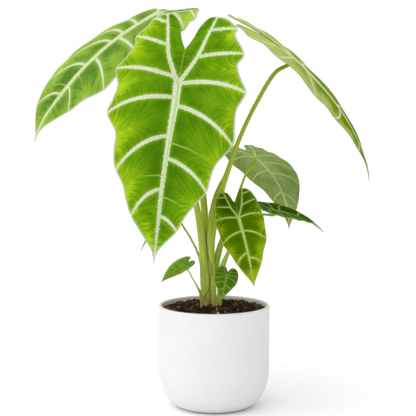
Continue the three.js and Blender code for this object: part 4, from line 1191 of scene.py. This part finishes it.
# vein: width of the broadest side vein, midrib: its share of the usual width, bow: how far it runs to the
# right of the ribs, ridge: how far veins stand up, spacing: of the mesh lines. sun: how strongly painted
# light
# shines through each half, to_tip: how much brighter the painted light makes it at the tip than at the
# stalk. marks: as PATTERN_VALUES lists them.
USUAL_LOOK = dict(midrib=1.0, bow=0.0, ridge=0.0, to_tip=0.0, roughness=0.6, specular=0.0)
LOOKS = {
    "front": dict(colours=BRIGHT, vein=5.0, midrib=1.1, bow=1.5, ridge=-0.08, to_tip=-0.12, spacing=1.25,
                  sun={-1: 1.0, 1: 0.7}, roughness=0.8, marks=(1.5, 3.4, 1.0, 1.7)),
    "upper_left": dict(colours=COOL_PAINTED_SHEEN, vein=4.4, midrib=2.2, bow=5.0, ridge=0.8, to_tip=-0.35, spacing=1.4,
                       sun={-1: 0.75, 1: 0.6}, specular=0.06, marks=(0.6, 5.5, 0.7, 1.5)),
    "right": dict(colours=PALE_PAINTED_SHEEN, vein=3.8, midrib=1.2, ridge=0.8, to_tip=-0.9, spacing=1.3,
                  sun={-1: 0.8, 1: 0.4}, marks=(0.3, 6.5, 0.8, 0.8)),
    "mid_right": dict(colours=COOL_PAINTED_SHEEN, vein=2.2, spacing=1.0, sun={-1: 0.7, 1: 0.7}, roughness=0.7,
                      specular=0.03, marks=(0.3, 3.0, 0.8, 0.5)),
    "low_front": dict(colours=YOUNG, vein=2.2, midrib=1.1, to_tip=0.5, spacing=0.85,
                      sun={-1: 0.75, 1: 0.9}, roughness=0.7, marks=(0.4, 3.2, 0.9, 0.7)),
    "low_right": dict(colours=DARK, vein=2.0, midrib=1.2, ridge=0.3, spacing=0.9, sun={-1: 0.6, 1: 0.6},
                      marks=(0.5, 2.6, 1.2, 0.9)),
    "behind": dict(colours=COOL_PAINTED_SHEEN, vein=1.8, spacing=0.9, sun={-1: 0.6, 1: 0.6}, roughness=0.7,
                   specular=0.03, marks=(0.3, 2.6, 0.8, 0.5)),
    "small_left": dict(colours=TENDER, vein=1.0, spacing=0.5, sun={-1: 1.2, 1: 0.7}, specular=0.04,
                       marks=(0.15, 1.6, 0.7, 0.2)),
    "small_front": dict(colours=SMALL, vein=1.1, spacing=0.5, sun={-1: 0.3, 1: 0.3}, specular=0.03,
                        marks=(0.15, 1.6, 0.8, 0.3)),
}
for leaf in LEAVES:
    dressed_leaf = {**leaf, **USUAL_LOOK, **LOOKS[leaf["name"]]}
    blade = make_blade(dressed_leaf)
    blade.data.materials.append(make_leaf_skin("leaf_skin_" + leaf["name"], dressed_leaf))
    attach(blade, "root")
    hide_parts("leaf_" + leaf["name"])

# Studio
# A pale floor in a white room that is brighter on the left, with one wide soft lamp from the upper left,
# and the camera at the photograph's angle.
CAMERA_PLACE = (-0.00753, -1.4348, 0.3877)
CAMERA_PITCH = 5.467
CAMERA_LENS = 100
CAMERA_SENSOR = 36
CAMERA_SIGHT = 60
FLOOR_REACH = 30
LAMP_STRENGTH = 0.9
LAMP_SPREAD = 80
LAMP_HEIGHT = 45
LAMP_SIDE = 57
ROOM_BRIGHT_SIDE = 1.1
ROOM_DIM_SIDE = 0.72
ROOM_SIDE_START = 0.3
ROOM_SIDE_END = 0.85

floor_corners = [(FLOOR_REACH * x, FLOOR_REACH * y, 0) for x, y in ((-1, -1), (1, -1), (1, 1), (-1, 1))]
floor = new_piece("floor", floor_corners, [(0, 1, 2, 3)])
floor_material, _, floor_shader = new_material("pale_floor", 0.9, 0.0)
floor_shader.inputs["Base Color"].default_value = (0.97, 0.97, 0.97, 1)
floor.data.materials.append(floor_material)

lamp_data = bpy.data.lights.new("soft_lamp", "SUN")
lamp_data.energy = LAMP_STRENGTH
lamp_data.angle = math.radians(LAMP_SPREAD)
lamp = bpy.data.objects.new("soft_lamp", lamp_data)
lamp.rotation_euler = (math.radians(90 - LAMP_HEIGHT), 0, math.radians(-LAMP_SIDE))
bpy.context.scene.collection.objects.link(lamp)

world = bpy.data.worlds.new("studio")
world.use_nodes = True
room = world.node_tree
direction = add_node(room, "ShaderNodeTexCoord").outputs["Generated"]
sideways = add_node(room, "ShaderNodeSeparateXYZ", {0: direction}).outputs[0]
to_left = ramp(room, sideways, -ROOM_SIDE_END, -ROOM_SIDE_START, ROOM_BRIGHT_SIDE, 1.0)
to_right = ramp(room, sideways, ROOM_SIDE_START, ROOM_SIDE_END, 1.0, ROOM_DIM_SIDE)
room.links.new(times(room, to_left, to_right), room.nodes["Background"].inputs["Strength"])
room.nodes["Background"].inputs["Color"].default_value = (1, 1, 1, 1)
bpy.context.scene.world = world
bpy.context.scene.view_settings.view_transform = "Standard"

camera_data = bpy.data.cameras.new("camera")
camera_data.lens = CAMERA_LENS
camera_data.sensor_width = CAMERA_SENSOR
camera_data.clip_end = CAMERA_SIGHT
camera = bpy.data.objects.new("camera", camera_data)
camera.location = CAMERA_PLACE
camera.rotation_euler = (math.radians(90 - CAMERA_PITCH), 0, 0)
bpy.context.scene.collection.objects.link(camera)
bpy.context.scene.camera = camera
